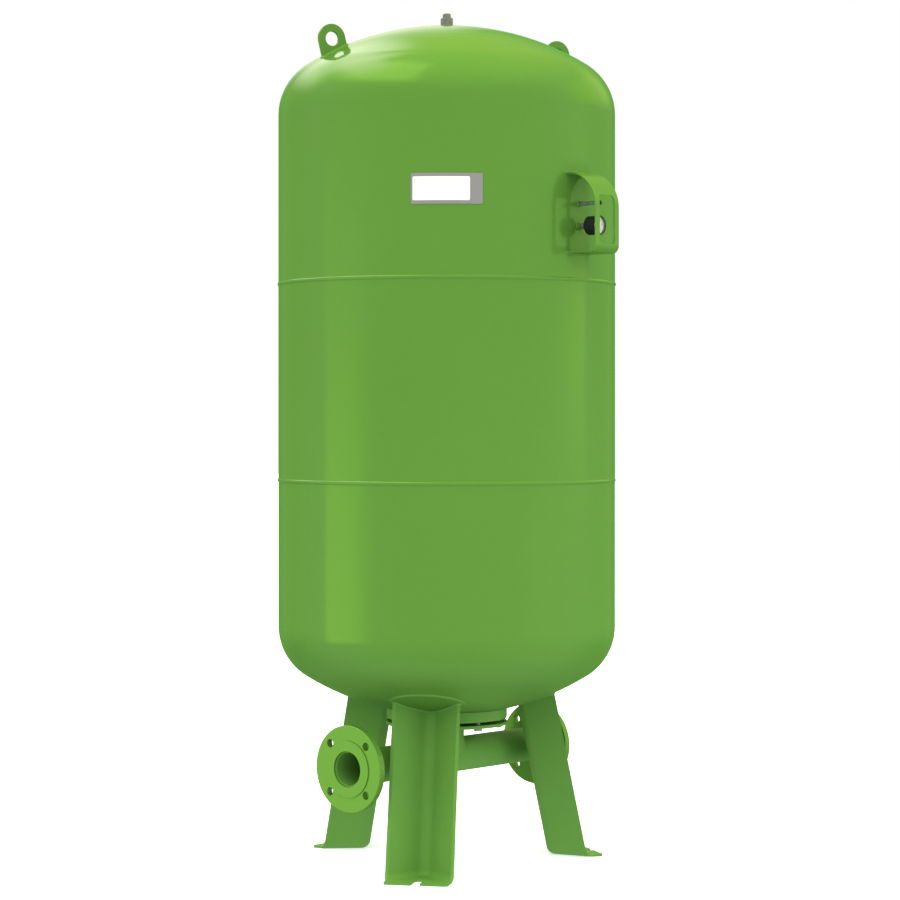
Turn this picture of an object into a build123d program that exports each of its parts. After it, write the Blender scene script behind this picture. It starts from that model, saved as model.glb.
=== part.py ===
from build123d import *
from math import asin, cos, degrees, radians, sin, sqrt, tan
import os

# Free-standing flow-through expansion vessel, in millimetres. The origin is on the
# vessel's axis at floor level, +Z up. Azimuth 0 is the side of the gauge guard, along
# -Y, and azimuths grow towards +X. The flow-through pipe runs along X.

os.makedirs("parts", exist_ok=True)

# Fits
seat_gap = 0.2  # between a curved surface and what is welded or stuck to it
slip_gap = 0.2  # radial, between a fixed insert and its hole
running_gap = 0.05  # radial, between a moving pin and its bearing

# Pressure shell
vessel_radius = 370.0
shell_wall = 4.0
crown_radius = 592.0
knuckle_radius = 125.0
lower_tangent_z = 516.0
lower_course_height = 320.5
middle_course_height = 429.0
upper_course_height = 371.5
seam_width = 8.0
seam_crown = 1.8

# Bottom opening, bolted cover and bladder lip
neck_outer_radius = 132.5
neck_bore_radius = 78.0
neck_depth = 8.6  # lowest point of the head to the sealing face
neck_edge_radius = 5.0
cover_radius = 133.5
cover_thickness = 7.5
cover_edge_radius = 2.0
cover_bolt_circle_radius = 112.5
cover_bolt_count = 8
cover_bolt_azimuth = -57.0
cover_bolt_radius = 5.0
cover_bolt_clearance = 1.0
cover_bolt_head_height = 6.8
cover_bolt_head_flats = 16.0
cover_bolt_chamfer = 1.0
cover_bolt_engagement = 13.0

# Bladder and its hanger at the top
bladder_clearance = 36.0  # between the bladder's belly and the shell's inner face
bladder_wall = 4.0
bladder_neck_gap = 4.0
bladder_lip_radius = 97.0
bladder_lip_thickness = 5.5
bladder_neck_height = 30.0
bladder_belly_drop = 102.0  # below the lower tangent line
bladder_bottom_bend = 120.0
bladder_top_drop = 230.0
bladder_top_slope = 180.0
bladder_top_bend = 160.0
bladder_neck_bend = 16.0
bladder_top_radius = 24.0
hanger_flats = 24.0
hanger_height = 21.5
hanger_chamfer = 1.5
hanger_collar_radius = 12.0
hanger_spigot_radius = 9.0
hanger_collar_length = 26.0
hanger_plate_thickness = 3.0
hanger_nut_flats = 30.0
hanger_nut_height = 10.0
hanger_plug_flats = 15.5
hanger_plug_height = 9.5
hanger_plug_radius = 5.0
hanger_plug_depth = 14.0

# Flow-through pipe and its flanges
pipe_radius = 38.05
pipe_wall = 2.9
riser_length = 70.0  # pipe axis to the underside of the cover
flange_face_span = 643.0
flange_radius = 92.5
flange_thickness = 18.0
flange_raised_radius = 60.0
flange_raised_height = 2.5
flange_bolt_circle_radius = 72.5
flange_bolt_count = 4
flange_hole_radius = 9.0
flange_pipe_recess = 5.0
flange_weld_leg = 6.0
flange_edge_chamfer = 1.0
divider_thickness = 2.0
divider_rise = 120.0

# Legs
leg_azimuths = {"front_left": -60.0, "front_right": 60.0, "rear": 180.0}
leg_sheet = 5.0
leg_chord = 147.0
leg_fold_radius = 25.0
leg_foot_bend_radius = 20.0
leg_tip_inset = 66.5  # wing tips at floor level, within the shell's radius
leg_lean = 12.0
foot_toe_length = 41.0
foot_toe_width = 142.0
foot_waist_width = 134.0  # behind the toe, where the wings' bend runs out
foot_corner_radius = 9.0
foot_slot_width = 20.0
foot_slot_length = 50.0
leg_pad_thickness = 3.0
leg_pad_half_width = 82.0
leg_pad_half_length = 70.0
leg_pad_setback = 27.0
leg_pad_neck_gap = 3.0  # least distance from the neck ring

# Lifting lugs
lug_azimuths = {"left": -110.0, "right": 70.0}
lug_root_inset = 93.2  # middle of the lug's foot, within the shell's radius
lug_sheet = 7.0
lug_width = 64.0
lug_eye_radius = 15.5
lug_eye_height = 26.8
lug_lean = 14.0
lug_edge_chamfer = 0.8

# Guard over the gauge and the gas valve
guard_bottom_height = 53.5  # above the upper seam
guard_height = 172.0
guard_width = 80.0
guard_projection = 76.0
guard_sheet = 3.0
guard_arch_radius = 76.0
guard_bend_radius = 17.0
guard_edge_radius = 0.8
window_width = 51.0
window_height = 103.5
window_corner_radius = 10.0
window_centre_height = 70.2  # above the guard's bottom

# Pressure gauge
gauge_height = 58.9  # above the guard's bottom
gauge_socket_radius = 8.0
gauge_socket_length = 6.0
gauge_spigot_radius = 6.5
gauge_spigot_length = 12.0
gauge_stem_flats = 12.0
gauge_stem_length = 17.5
gauge_stem_tail_radius = 4.5
gauge_stem_tail_length = 8.0
gauge_case_radius = 20.0
gauge_case_depth = 32.5
gauge_case_chamfer = 5.0
gauge_dial_radius = 18.0
gauge_dial_thickness = 0.8
gauge_dial_depth = 5.0
gauge_lens_radius = 18.8
gauge_lens_thickness = 1.5
gauge_lens_depth = 2.0
gauge_arbor_radius = 1.0
gauge_arbor_length = 2.4
pointer_hub_radius = 2.6
pointer_thickness = 0.6
pointer_height = 1.3  # above the dial's seat
pointer_reach = 13.0
pointer_tail = 5.5
pointer_root_width = 2.0
pointer_tip_width = 0.5
pointer_rest_angle = -27.0  # clockwise from the top of the dial

# Gas filling valve
valve_height = 106.0  # above the guard's bottom
valve_socket_radius = 5.6
valve_socket_length = 5.0
valve_spigot_radius = 4.4
valve_spigot_length = 10.0
valve_body_radius = 4.0
valve_body_length = 42.0
valve_neck_radius = 3.6
valve_neck_length = 5.0
valve_bore_radius = 2.6
valve_bore_depth = 18.0
valve_core_length = 16.0
valve_pin_radius = 0.6
valve_pin_travel = 1.5
valve_pin_proud = 1.0
valve_cap_radius = 4.9
valve_cap_length = 9.0
valve_cap_roof = 3.0
valve_cap_flutes = 12
valve_cap_flute_radius = 0.6

# Name plate, left bare
plate_azimuth = -49.0
plate_centre_height = 182.5  # above the upper seam
plate_width = 149.0
plate_height = 64.0
plate_thickness = 1.0
plate_corner_radius = 3.0
panel_width = 119.0
panel_height = 49.5
panel_thickness = 0.4
panel_corner_radius = 3.0
panel_margin = 3.6

# Heights that follow from the sizes above
lower_seam_z = lower_tangent_z + lower_course_height
upper_seam_z = lower_seam_z + middle_course_height
upper_tangent_z = upper_seam_z + upper_course_height
knuckle_centre_radius = vessel_radius - knuckle_radius
crown_angle = degrees(asin(knuckle_centre_radius / (crown_radius - knuckle_radius)))
crown_centre_depth = (crown_radius - knuckle_radius) * cos(radians(crown_angle))
crown_edge_radius = crown_radius * sin(radians(crown_angle))
lower_crown_centre_z = lower_tangent_z + crown_centre_depth
upper_crown_centre_z = upper_tangent_z - crown_centre_depth
lower_apex_z = lower_crown_centre_z - crown_radius
upper_apex_z = upper_crown_centre_z + crown_radius
neck_face_z = lower_apex_z - neck_depth
cover_top_z = neck_face_z - bladder_lip_thickness
cover_bottom_z = cover_top_z - cover_thickness
pipe_axis_z = cover_bottom_z - riser_length
pipe_bore_radius = pipe_radius - pipe_wall
flange_face_x = flange_face_span / 2
cover_bolt_start = cover_bolt_azimuth - 90
guard_bottom_z = upper_seam_z + guard_bottom_height
gauge_z = guard_bottom_z + gauge_height
valve_z = guard_bottom_z + valve_height

# Planes on the side of azimuth 0: x runs outwards from the axis on the first two
outward_floor = Plane(origin=(0, 0, 0), x_dir=(0, -1, 0), z_dir=(0, 0, 1))
outward_wall = Plane(origin=(0, 0, 0), x_dir=(0, -1, 0), z_dir=(-1, 0, 0))


def facing_plane(distance, height):
    """Upright plane that faces outwards at azimuth 0, x along +X and y up."""
    return Plane(origin=(0, -distance, height), x_dir=(1, 0, 0), z_dir=(0, -1, 0))


def upper_dome_z(radius):
    """Height of the upper head's outer surface at a distance from the axis."""
    if radius < crown_edge_radius:
        return upper_crown_centre_z + sqrt(crown_radius**2 - radius**2)
    return upper_tangent_z + sqrt(knuckle_radius**2 - (radius - knuckle_centre_radius) ** 2)


def vessel_form(growth):
    """Solid of the whole vessel's outer shape, grown outwards by a distance."""
    wall_radius = vessel_radius + growth
    crown = crown_radius + growth
    knuckle = knuckle_radius + growth
    knuckle_angle = 90 - crown_angle
    with BuildPart() as form:
        with BuildSketch(Plane.XZ):
            with BuildLine():
                bottom = CenterArc((0, lower_crown_centre_z), crown, -90, crown_angle)
                CenterArc(
                    (knuckle_centre_radius, lower_tangent_z),
                    knuckle,
                    -knuckle_angle,
                    knuckle_angle,
                )
                Line((wall_radius, lower_tangent_z), (wall_radius, upper_tangent_z))
                CenterArc((knuckle_centre_radius, upper_tangent_z), knuckle, 0, knuckle_angle)
                top = CenterArc((0, upper_crown_centre_z), crown, knuckle_angle, crown_angle)
                Line(top @ 1, bottom @ 0)
            make_face()
        revolve(axis=Axis.Z)
    return form.part


outer_form = vessel_form(0)
inner_form = vessel_form(-shell_wall)
seat_form = vessel_form(seat_gap)

# ---------------------------------------------------------------- pressure shell

with BuildPart() as lower_shell:
    add(outer_form)
    add(inner_form, mode=Mode.SUBTRACT)
    split(bisect_by=Plane.XY.offset(lower_seam_z - seam_width / 2), keep=Keep.BOTTOM)
    with BuildSketch(Plane.XY.offset(lower_apex_z)):
        Circle(neck_bore_radius)
    extrude(amount=crown_edge_radius, both=True, mode=Mode.SUBTRACT)
lower_shell.part.label = "lower_shell"
export_step(lower_shell.part, "parts/lower_shell.step")

with BuildPart() as middle_shell:
    with BuildSketch(Plane.XY.offset(lower_seam_z + seam_width / 2)):
        Circle(vessel_radius)
        Circle(vessel_radius - shell_wall, mode=Mode.SUBTRACT)
    extrude(amount=middle_course_height - seam_width)
middle_shell.part.label = "middle_shell"
export_step(middle_shell.part, "parts/middle_shell.step")

with BuildPart() as upper_shell:
    add(outer_form)
    add(inner_form, mode=Mode.SUBTRACT)
    split(bisect_by=Plane.XY.offset(upper_seam_z + seam_width / 2), keep=Keep.TOP)
    with BuildSketch(Plane.XY.offset(upper_tangent_z)):
        Circle(hanger_collar_radius + slip_gap)
    extrude(amount=crown_radius, mode=Mode.SUBTRACT)
    with BuildSketch(facing_plane(0, gauge_z)):
        Circle(gauge_spigot_radius + slip_gap)
    extrude(amount=vessel_radius + shell_wall, mode=Mode.SUBTRACT)
    with BuildSketch(facing_plane(0, valve_z)):
        Circle(valve_spigot_radius + slip_gap)
    extrude(amount=vessel_radius + shell_wall, mode=Mode.SUBTRACT)
upper_shell.part.label = "upper_shell"
export_step(upper_shell.part, "parts/upper_shell.step")

for seam_name, seam_z in {"lower_seam": lower_seam_z, "upper_seam": upper_seam_z}.items():
    with BuildPart() as seam:
        with BuildSketch(Plane.XZ):
            with BuildLine():
                bead_low = (vessel_radius, seam_z - seam_width / 2)
                bead_high = (vessel_radius, seam_z + seam_width / 2)
                root_low = (vessel_radius - shell_wall, seam_z - seam_width / 2)
                root_high = (vessel_radius - shell_wall, seam_z + seam_width / 2)
                ThreePointArc(bead_low, (vessel_radius + seam_crown, seam_z), bead_high)
                Polyline(bead_high, root_high, root_low, bead_low)
            make_face()
        revolve(axis=Axis.Z)
    seam.part.label = seam_name
    export_step(seam.part, f"parts/{seam_name}.step")

# ------------------------------------------------- bottom opening and its cover

with BuildPart() as neck_ring:
    with BuildSketch(Plane.XY.offset(neck_face_z)):
        Circle(neck_outer_radius)
        Circle(neck_bore_radius, mode=Mode.SUBTRACT)
    extrude(amount=neck_depth + neck_outer_radius)
    add(seat_form, mode=Mode.SUBTRACT)
    face_edges = neck_ring.edges().filter_by(GeomType.CIRCLE).group_by(Axis.Z)[0]
    fillet(face_edges.sort_by(SortBy.RADIUS)[-1], radius=neck_edge_radius)
    with BuildSketch(Plane.XY.offset(neck_face_z)):
        with PolarLocations(cover_bolt_circle_radius, cover_bolt_count, start_angle=cover_bolt_start):
            Circle(cover_bolt_radius + slip_gap)
    extrude(amount=cover_bolt_engagement + slip_gap, mode=Mode.SUBTRACT)
neck_ring.part.label = "neck_ring"
export_step(neck_ring.part, "parts/neck_ring.step")

with BuildPart() as cover_plate:
    with BuildSketch(Plane.XY.offset(cover_bottom_z)):
        Circle(cover_radius)
        Circle(pipe_bore_radius, mode=Mode.SUBTRACT)
        with PolarLocations(cover_bolt_circle_radius, cover_bolt_count, start_angle=cover_bolt_start):
            Circle(cover_bolt_radius + cover_bolt_clearance, mode=Mode.SUBTRACT)
    extrude(amount=cover_thickness)
    fillet(
        cover_plate.edges().filter_by(GeomType.CIRCLE).group_by(SortBy.RADIUS)[-1],
        radius=cover_edge_radius,
    )
cover_plate.part.label = "cover_plate"
export_step(cover_plate.part, "parts/cover_plate.step")

with BuildPart() as cover_bolts:
    with BuildSketch(Plane.XY.offset(cover_bottom_z)):
        with PolarLocations(cover_bolt_circle_radius, cover_bolt_count, start_angle=cover_bolt_start):
            RegularPolygon(cover_bolt_head_flats / 2, 6, major_radius=False)
    extrude(amount=-cover_bolt_head_height)
    chamfer(cover_bolts.edges().group_by(Axis.Z)[0], length=cover_bolt_chamfer)
    with BuildSketch(Plane.XY.offset(cover_bottom_z)):
        with PolarLocations(cover_bolt_circle_radius, cover_bolt_count, start_angle=cover_bolt_start):
            Circle(cover_bolt_radius)
    extrude(amount=cover_thickness + bladder_lip_thickness + cover_bolt_engagement)
cover_bolts.part.label = "cover_bolts"
export_step(cover_bolts.part, "parts/cover_bolts.step")

# --------------------------------------------------------- bladder and its hanger

bladder_neck_radius = neck_bore_radius - bladder_neck_gap
bladder_radius = vessel_radius - shell_wall - bladder_clearance
bladder_belly_z = lower_tangent_z - bladder_belly_drop
bladder_shoulder_z = upper_apex_z - bladder_top_drop - bladder_top_slope / 2
hanger_plate_z = upper_apex_z - hanger_collar_length
bladder_top_z = hanger_plate_z - hanger_plate_thickness


def bladder_form(inset):
    """Solid of the bladder's outer shape, with its wall moved inwards by a distance."""
    neck = bladder_neck_radius - inset
    belly = bladder_radius - inset
    crown = bladder_top_radius - inset
    with BuildPart() as form:
        with BuildSketch(Plane.XZ):
            with BuildLine():
                FilletPolyline(
                    (neck, cover_top_z),
                    (neck, neck_face_z + bladder_neck_height + inset / 2),
                    (belly, bladder_belly_z + inset),
                    (belly, bladder_shoulder_z),
                    (crown, bladder_shoulder_z + bladder_top_slope - inset),
                    (crown, bladder_top_z - inset),
                    radius=(
                        bladder_neck_bend + inset,
                        bladder_bottom_bend - inset,
                        bladder_top_bend - inset,
                        bladder_neck_bend + inset,
                    ),
                )
                Polyline(
                    (crown, bladder_top_z - inset),
                    (0, bladder_top_z - inset),
                    (0, cover_top_z),
                    (neck, cover_top_z),
                )
            make_face()
        revolve(axis=Axis.Z)
    return form.part


with BuildPart() as bladder:
    add(bladder_form(0))
    with BuildSketch(Plane.XY.offset(cover_top_z)):
        Circle(bladder_lip_radius)
    extrude(amount=bladder_lip_thickness)
    add(bladder_form(bladder_wall), mode=Mode.SUBTRACT)
    with BuildSketch(Plane.XY.offset(bladder_top_z)):
        Circle(hanger_spigot_radius + slip_gap)
    extrude(amount=-bladder_wall * 2, mode=Mode.SUBTRACT)
bladder.part.label = "bladder"
export_step(bladder.part, "parts/bladder.step")


with BuildPart() as hanger_socket:
    with BuildSketch(Plane.XY.offset(upper_apex_z - shell_wall / 2)):
        RegularPolygon(hanger_flats / 2, 6, major_radius=False)
    extrude(amount=hanger_height + shell_wall / 2)
    chamfer(hanger_socket.edges().group_by(Axis.Z)[-1], length=hanger_chamfer)
    add(seat_form, mode=Mode.SUBTRACT)
    with BuildSketch(Plane.XY.offset(upper_apex_z + hanger_chamfer)):
        Circle(hanger_collar_radius)
    extrude(amount=-hanger_collar_length - hanger_chamfer)
    with BuildSketch(Plane.XY.offset(hanger_plate_z)):
        Circle(hanger_spigot_radius)
    extrude(amount=-2 * hanger_plate_thickness - bladder_wall - hanger_nut_height)
    with BuildSketch(Plane.XY.offset(upper_apex_z + hanger_height)):
        Circle(hanger_plug_radius + slip_gap)
    extrude(amount=-hanger_plug_depth - slip_gap, mode=Mode.SUBTRACT)
hanger_socket.part.label = "hanger_socket"
export_step(hanger_socket.part, "parts/hanger_socket.step")

with BuildPart() as hanger_plug:
    with BuildSketch(Plane.XY.offset(upper_apex_z + hanger_height)):
        RegularPolygon(hanger_plug_flats / 2, 6, major_radius=False)
    extrude(amount=hanger_plug_height)
    chamfer(hanger_plug.edges().group_by(Axis.Z)[-1], length=hanger_chamfer)
    with BuildSketch(Plane.XY.offset(upper_apex_z + hanger_height)):
        Circle(hanger_plug_radius)
    extrude(amount=-hanger_plug_depth)
hanger_plug.part.label = "hanger_plug"
export_step(hanger_plug.part, "parts/hanger_plug.step")

hanger_washer_z = bladder_top_z - bladder_wall - hanger_plate_thickness
for disc_name, disc_z in {"hanger_plate": bladder_top_z, "hanger_washer": hanger_washer_z}.items():
    with BuildPart() as clamp_disc:
        with BuildSketch(Plane.XY.offset(disc_z)):
            Circle(bladder_top_radius - bladder_wall - slip_gap)
            Circle(hanger_spigot_radius + slip_gap, mode=Mode.SUBTRACT)
        extrude(amount=hanger_plate_thickness)
    clamp_disc.part.label = disc_name
    export_step(clamp_disc.part, f"parts/{disc_name}.step")

with BuildPart() as hanger_nut:
    with BuildSketch(Plane.XY.offset(hanger_washer_z)):
        RegularPolygon(hanger_nut_flats / 2, 6, major_radius=False)
        Circle(hanger_spigot_radius + slip_gap, mode=Mode.SUBTRACT)
    extrude(amount=-hanger_nut_height)
hanger_nut.part.label = "hanger_nut"
export_step(hanger_nut.part, "parts/hanger_nut.step")

# ---------------------------------------------------- flow-through pipe and flanges

pipe_half_length = flange_face_x - flange_pipe_recess
with BuildPart() as flow_tee:
    with BuildSketch(Plane.YZ):
        with Locations((0, pipe_axis_z)):
            Circle(pipe_radius)
    extrude(amount=pipe_half_length, both=True)
    with BuildSketch(Plane.XY.offset(pipe_axis_z)):
        Circle(pipe_radius)
    extrude(amount=riser_length)
    with BuildSketch(Plane.YZ):
        with Locations((0, pipe_axis_z)):
            Circle(pipe_bore_radius)
    extrude(amount=pipe_half_length, both=True, mode=Mode.SUBTRACT)
    with BuildSketch(Plane.XY.offset(pipe_axis_z)):
        Circle(pipe_bore_radius)
    extrude(amount=riser_length, mode=Mode.SUBTRACT)
flow_tee.part.label = "flow_tee"
export_step(flow_tee.part, "parts/flow_tee.step")

with BuildPart() as flow_divider:
    with BuildSketch(Plane.YZ):
        with Locations((0, pipe_axis_z)):
            Circle(pipe_bore_radius - slip_gap)
        with Locations((0, pipe_axis_z)):
            Rectangle(
                2 * (pipe_bore_radius - slip_gap),
                riser_length + divider_rise,
                align=(Align.CENTER, Align.MIN),
            )
    extrude(amount=divider_thickness / 2, both=True)
    add(bladder.part, mode=Mode.SUBTRACT)
flow_divider.part.label = "flow_divider"
export_step(flow_divider.part, "parts/flow_divider.step")

flange_bore_radius = pipe_radius + slip_gap
flange_back_x = flange_face_x - flange_thickness
flange_front_x = flange_face_x - flange_raised_height
flange_bolt_start = 180 / flange_bolt_count  # bolt holes straddle the centre lines
with BuildPart() as flange_form:
    with BuildSketch(Plane.XZ):
        with BuildLine():
            Polyline(
                (flange_back_x - flange_weld_leg, pipe_axis_z + flange_bore_radius),
                (flange_back_x, pipe_axis_z + flange_bore_radius + flange_weld_leg),
                (flange_back_x, pipe_axis_z + flange_radius - flange_edge_chamfer),
                (flange_back_x + flange_edge_chamfer, pipe_axis_z + flange_radius),
                (flange_front_x - flange_edge_chamfer, pipe_axis_z + flange_radius),
                (flange_front_x, pipe_axis_z + flange_radius - flange_edge_chamfer),
                (flange_front_x, pipe_axis_z + flange_raised_radius),
                (flange_face_x, pipe_axis_z + flange_raised_radius),
                (flange_face_x, pipe_axis_z + flange_bore_radius),
                close=True,
            )
        make_face()
    revolve(axis=Axis((0, 0, pipe_axis_z), (1, 0, 0)))
    with BuildSketch(Plane.YZ.offset(flange_back_x)):
        with Locations((0, pipe_axis_z)):
            with PolarLocations(flange_bolt_circle_radius, flange_bolt_count, flange_bolt_start):
                Circle(flange_hole_radius)
    extrude(amount=flange_thickness, mode=Mode.SUBTRACT)

for flange_name, turn in {"outlet_flange": 0, "inlet_flange": 180}.items():
    with BuildPart() as flange:
        add(flange_form.part, rotation=(0, 0, turn))
    flange.part.label = flange_name
    export_step(flange.part, f"parts/{flange_name}.step")

# ------------------------------------------------------------------------- legs

leg_slope = tan(radians(leg_lean))
leg_tip_radius = vessel_radius - leg_tip_inset
leg_fold_x = leg_tip_radius - leg_chord / 2
leg_pad_centre = leg_tip_radius - leg_slope * lower_apex_z - leg_pad_setback


foot_edge_x = leg_tip_radius + foot_toe_length
foot_waist_x = leg_tip_radius + leg_foot_bend_radius


def leg_block(inset):
    """Endless V form with a floor, moved inwards from the leg's outer faces by a distance."""
    fold_x = leg_fold_x + inset * sqrt(2) - leg_slope * inset
    mouth_x = foot_edge_x + leg_sheet + inset
    with BuildPart() as block:
        with BuildSketch(outward_floor.offset(inset)) as section:
            with BuildLine():
                wing_reach = mouth_x - fold_x
                Polyline((mouth_x, wing_reach), (mouth_x, -wing_reach), (fold_x, 0), close=True)
            make_face()
            fillet(section.vertices().sort_by(Axis.X)[:1], radius=leg_fold_radius - inset)
        extrude(amount=lower_tangent_z, dir=(0, leg_slope, 1))
        bottom_edges = block.edges().group_by(Axis.Z)[0].sort_by(Axis.Y)
        fillet(bottom_edges[1:], radius=leg_foot_bend_radius - inset)
    return block.part


pad_form = vessel_form(seat_gap + leg_pad_thickness)
with BuildPart() as leg_form:
    add(leg_block(0))
    add(leg_block(leg_sheet), mode=Mode.SUBTRACT)
    # The wings' free edges lean with the leg and flare out into the toe.
    with BuildSketch(outward_wall) as side_section:
        with BuildLine():
            Polyline(
                (0, 0),
                (foot_edge_x, 0),
                (foot_edge_x, leg_sheet),
                (leg_tip_radius - leg_slope * leg_sheet, leg_sheet),
                (leg_tip_radius - leg_slope * lower_tangent_z, lower_tangent_z),
                (0, lower_tangent_z),
                close=True,
            )
        make_face()
        flare_root = side_section.vertices().group_by(Axis.Y)[1].sort_by(Axis.X)[0]
        fillet(flare_root, radius=leg_foot_bend_radius)
    extrude(amount=leg_chord, both=True, mode=Mode.INTERSECT)
    with BuildSketch(outward_floor) as foot_outline:
        with BuildLine():
            Polyline(
                (0, leg_chord),
                (leg_tip_radius, leg_chord / 2),
                (foot_waist_x, foot_waist_width / 2),
                (foot_edge_x, foot_toe_width / 2),
                (foot_edge_x, -foot_toe_width / 2),
                (foot_waist_x, -foot_waist_width / 2),
                (leg_tip_radius, -leg_chord / 2),
                (0, -leg_chord),
                close=True,
            )
        make_face()
        fillet(foot_outline.vertices().sort_by(Axis.X)[-2:], radius=foot_corner_radius)
    extrude(amount=lower_tangent_z, mode=Mode.INTERSECT)
    with BuildSketch(outward_floor) as slot_section:
        with Locations((foot_edge_x - foot_slot_length + foot_slot_width / 2, 0)):
            Circle(foot_slot_width / 2)
            Rectangle(foot_slot_length, foot_slot_width, align=(Align.MIN, Align.CENTER))
    extrude(amount=leg_sheet, mode=Mode.SUBTRACT)
    add(vessel_form(2 * seat_gap + leg_pad_thickness), mode=Mode.SUBTRACT)

with BuildPart() as leg_pad_form:
    with BuildSketch(outward_floor):
        with Locations((leg_pad_centre, 0)):
            Ellipse(leg_pad_half_length, leg_pad_half_width)
    extrude(amount=lower_tangent_z)
    with BuildSketch(outward_floor):
        Circle(neck_outer_radius + leg_pad_neck_gap)
    extrude(amount=lower_tangent_z, mode=Mode.SUBTRACT)
    add(pad_form, mode=Mode.INTERSECT)
    add(seat_form, mode=Mode.SUBTRACT)

for leg_name, azimuth in leg_azimuths.items():
    with BuildPart() as leg:
        add(leg_form.part, rotation=(0, 0, azimuth))
    leg.part.label = f"leg_{leg_name}"
    export_step(leg.part, f"parts/leg_{leg_name}.step")
    with BuildPart() as leg_pad:
        add(leg_pad_form.part, rotation=(0, 0, azimuth))
    leg_pad.part.label = f"leg_pad_{leg_name}"
    export_step(leg_pad.part, f"parts/leg_pad_{leg_name}.step")

# ------------------------------------------------------------------ lifting lugs

lug_root_radius = vessel_radius - lug_root_inset
lug_plane = Plane(
    origin=(0, -lug_root_radius, upper_dome_z(lug_root_radius)),
    x_dir=(0, -cos(radians(lug_lean)), -sin(radians(lug_lean))),
    z_dir=(-1, 0, 0),
)
with BuildPart() as lug_form:
    with BuildSketch(lug_plane):
        with Locations((0, lug_eye_height)):
            Circle(lug_width / 2)
            Rectangle(lug_width, lug_eye_height + lug_width / 2, align=(Align.CENTER, Align.MAX))
            Circle(lug_eye_radius, mode=Mode.SUBTRACT)
    extrude(amount=lug_sheet / 2, both=True)
    chamfer(lug_form.edges().filter_by(GeomType.CIRCLE), length=lug_edge_chamfer)
    add(seat_form, mode=Mode.SUBTRACT)

for lug_name, azimuth in lug_azimuths.items():
    with BuildPart() as lug:
        add(lug_form.part, rotation=(0, 0, azimuth))
    lug.part.label = f"lifting_lug_{lug_name}"
    export_step(lug.part, f"parts/lifting_lug_{lug_name}.step")

# ----------------------------------------------------------------- gauge guard

guard_back_x = vessel_radius - guard_sheet  # behind the wall's surface, cut back to it
guard_front_x = vessel_radius + guard_projection


def guard_section(inset):
    """Side view of the space within the guard's sheet, moved inwards by a distance."""
    front = guard_front_x - inset
    low = guard_bottom_z + inset
    high = guard_bottom_z + guard_height - inset
    with BuildSketch(outward_wall) as section:
        with BuildLine():
            FilletPolyline(
                (guard_back_x, low),
                (front, low),
                (front, high),
                (guard_back_x, high),
                radius=(guard_bend_radius - inset, guard_arch_radius - inset),
            )
            Line((guard_back_x, high), (guard_back_x, low))
        make_face()
    return section.sketch


with BuildPart() as guard_hood:
    extrude(guard_section(0), amount=guard_width / 2, both=True)
    extrude(guard_section(guard_sheet), amount=guard_width / 2, both=True, mode=Mode.SUBTRACT)
    with BuildSketch(facing_plane(guard_front_x, guard_bottom_z + window_centre_height)):
        RectangleRounded(window_width, window_height, window_corner_radius)
    extrude(amount=-guard_projection / 2, mode=Mode.SUBTRACT)
    add(seat_form, mode=Mode.SUBTRACT)
    side_edges = guard_hood.edges().group_by(Axis.X)[0] + guard_hood.edges().group_by(Axis.X)[-1]
    free_edges = [edge for edge in side_edges if edge.center().Y < -vessel_radius]
    fillet(free_edges, radius=guard_edge_radius)
guard_hood.part.label = "guard_hood"
export_step(guard_hood.part, "parts/guard_hood.step")

# --------------------------------------------------------------- pressure gauge

gauge_stem_x = vessel_radius + gauge_socket_length
gauge_back_x = gauge_stem_x + gauge_stem_length
gauge_front_x = gauge_back_x + gauge_case_depth
dial_seat_x = gauge_front_x - gauge_dial_depth
lens_seat_x = gauge_front_x - gauge_lens_depth

with BuildPart() as gauge_socket:
    with BuildSketch(facing_plane(0, gauge_z)):
        Circle(gauge_socket_radius)
    extrude(amount=gauge_stem_x)
    add(seat_form, mode=Mode.SUBTRACT)
    with BuildSketch(facing_plane(gauge_stem_x, gauge_z)):
        Circle(gauge_spigot_radius)
    extrude(amount=-gauge_socket_length - gauge_spigot_length)
    with BuildSketch(facing_plane(gauge_stem_x, gauge_z)):
        Circle(gauge_stem_tail_radius + slip_gap)
    extrude(amount=-gauge_stem_tail_length - slip_gap, mode=Mode.SUBTRACT)
gauge_socket.part.label = "gauge_socket"
export_step(gauge_socket.part, "parts/gauge_socket.step")

with BuildPart() as gauge_stem:
    with BuildSketch(facing_plane(gauge_stem_x, gauge_z)):
        RegularPolygon(gauge_stem_flats / 2, 6, major_radius=False)
    extrude(amount=gauge_stem_length)
    with BuildSketch(facing_plane(gauge_stem_x, gauge_z)):
        Circle(gauge_stem_tail_radius)
    extrude(amount=-gauge_stem_tail_length)
gauge_stem.part.label = "gauge_stem"
export_step(gauge_stem.part, "parts/gauge_stem.step")

with BuildPart() as gauge_case:
    with BuildSketch(facing_plane(gauge_back_x, gauge_z)):
        Circle(gauge_case_radius)
    extrude(amount=gauge_case_depth)
    chamfer(gauge_case.edges().group_by(Axis.Y)[-1], length=gauge_case_chamfer)
    with BuildSketch(facing_plane(dial_seat_x, gauge_z)):
        Circle(gauge_dial_radius + slip_gap)
    extrude(amount=gauge_dial_depth, mode=Mode.SUBTRACT)
    with BuildSketch(facing_plane(lens_seat_x, gauge_z)):
        Circle(gauge_lens_radius + slip_gap)
    extrude(amount=gauge_lens_depth, mode=Mode.SUBTRACT)
gauge_case.part.label = "gauge_case"
export_step(gauge_case.part, "parts/gauge_case.step")

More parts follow.
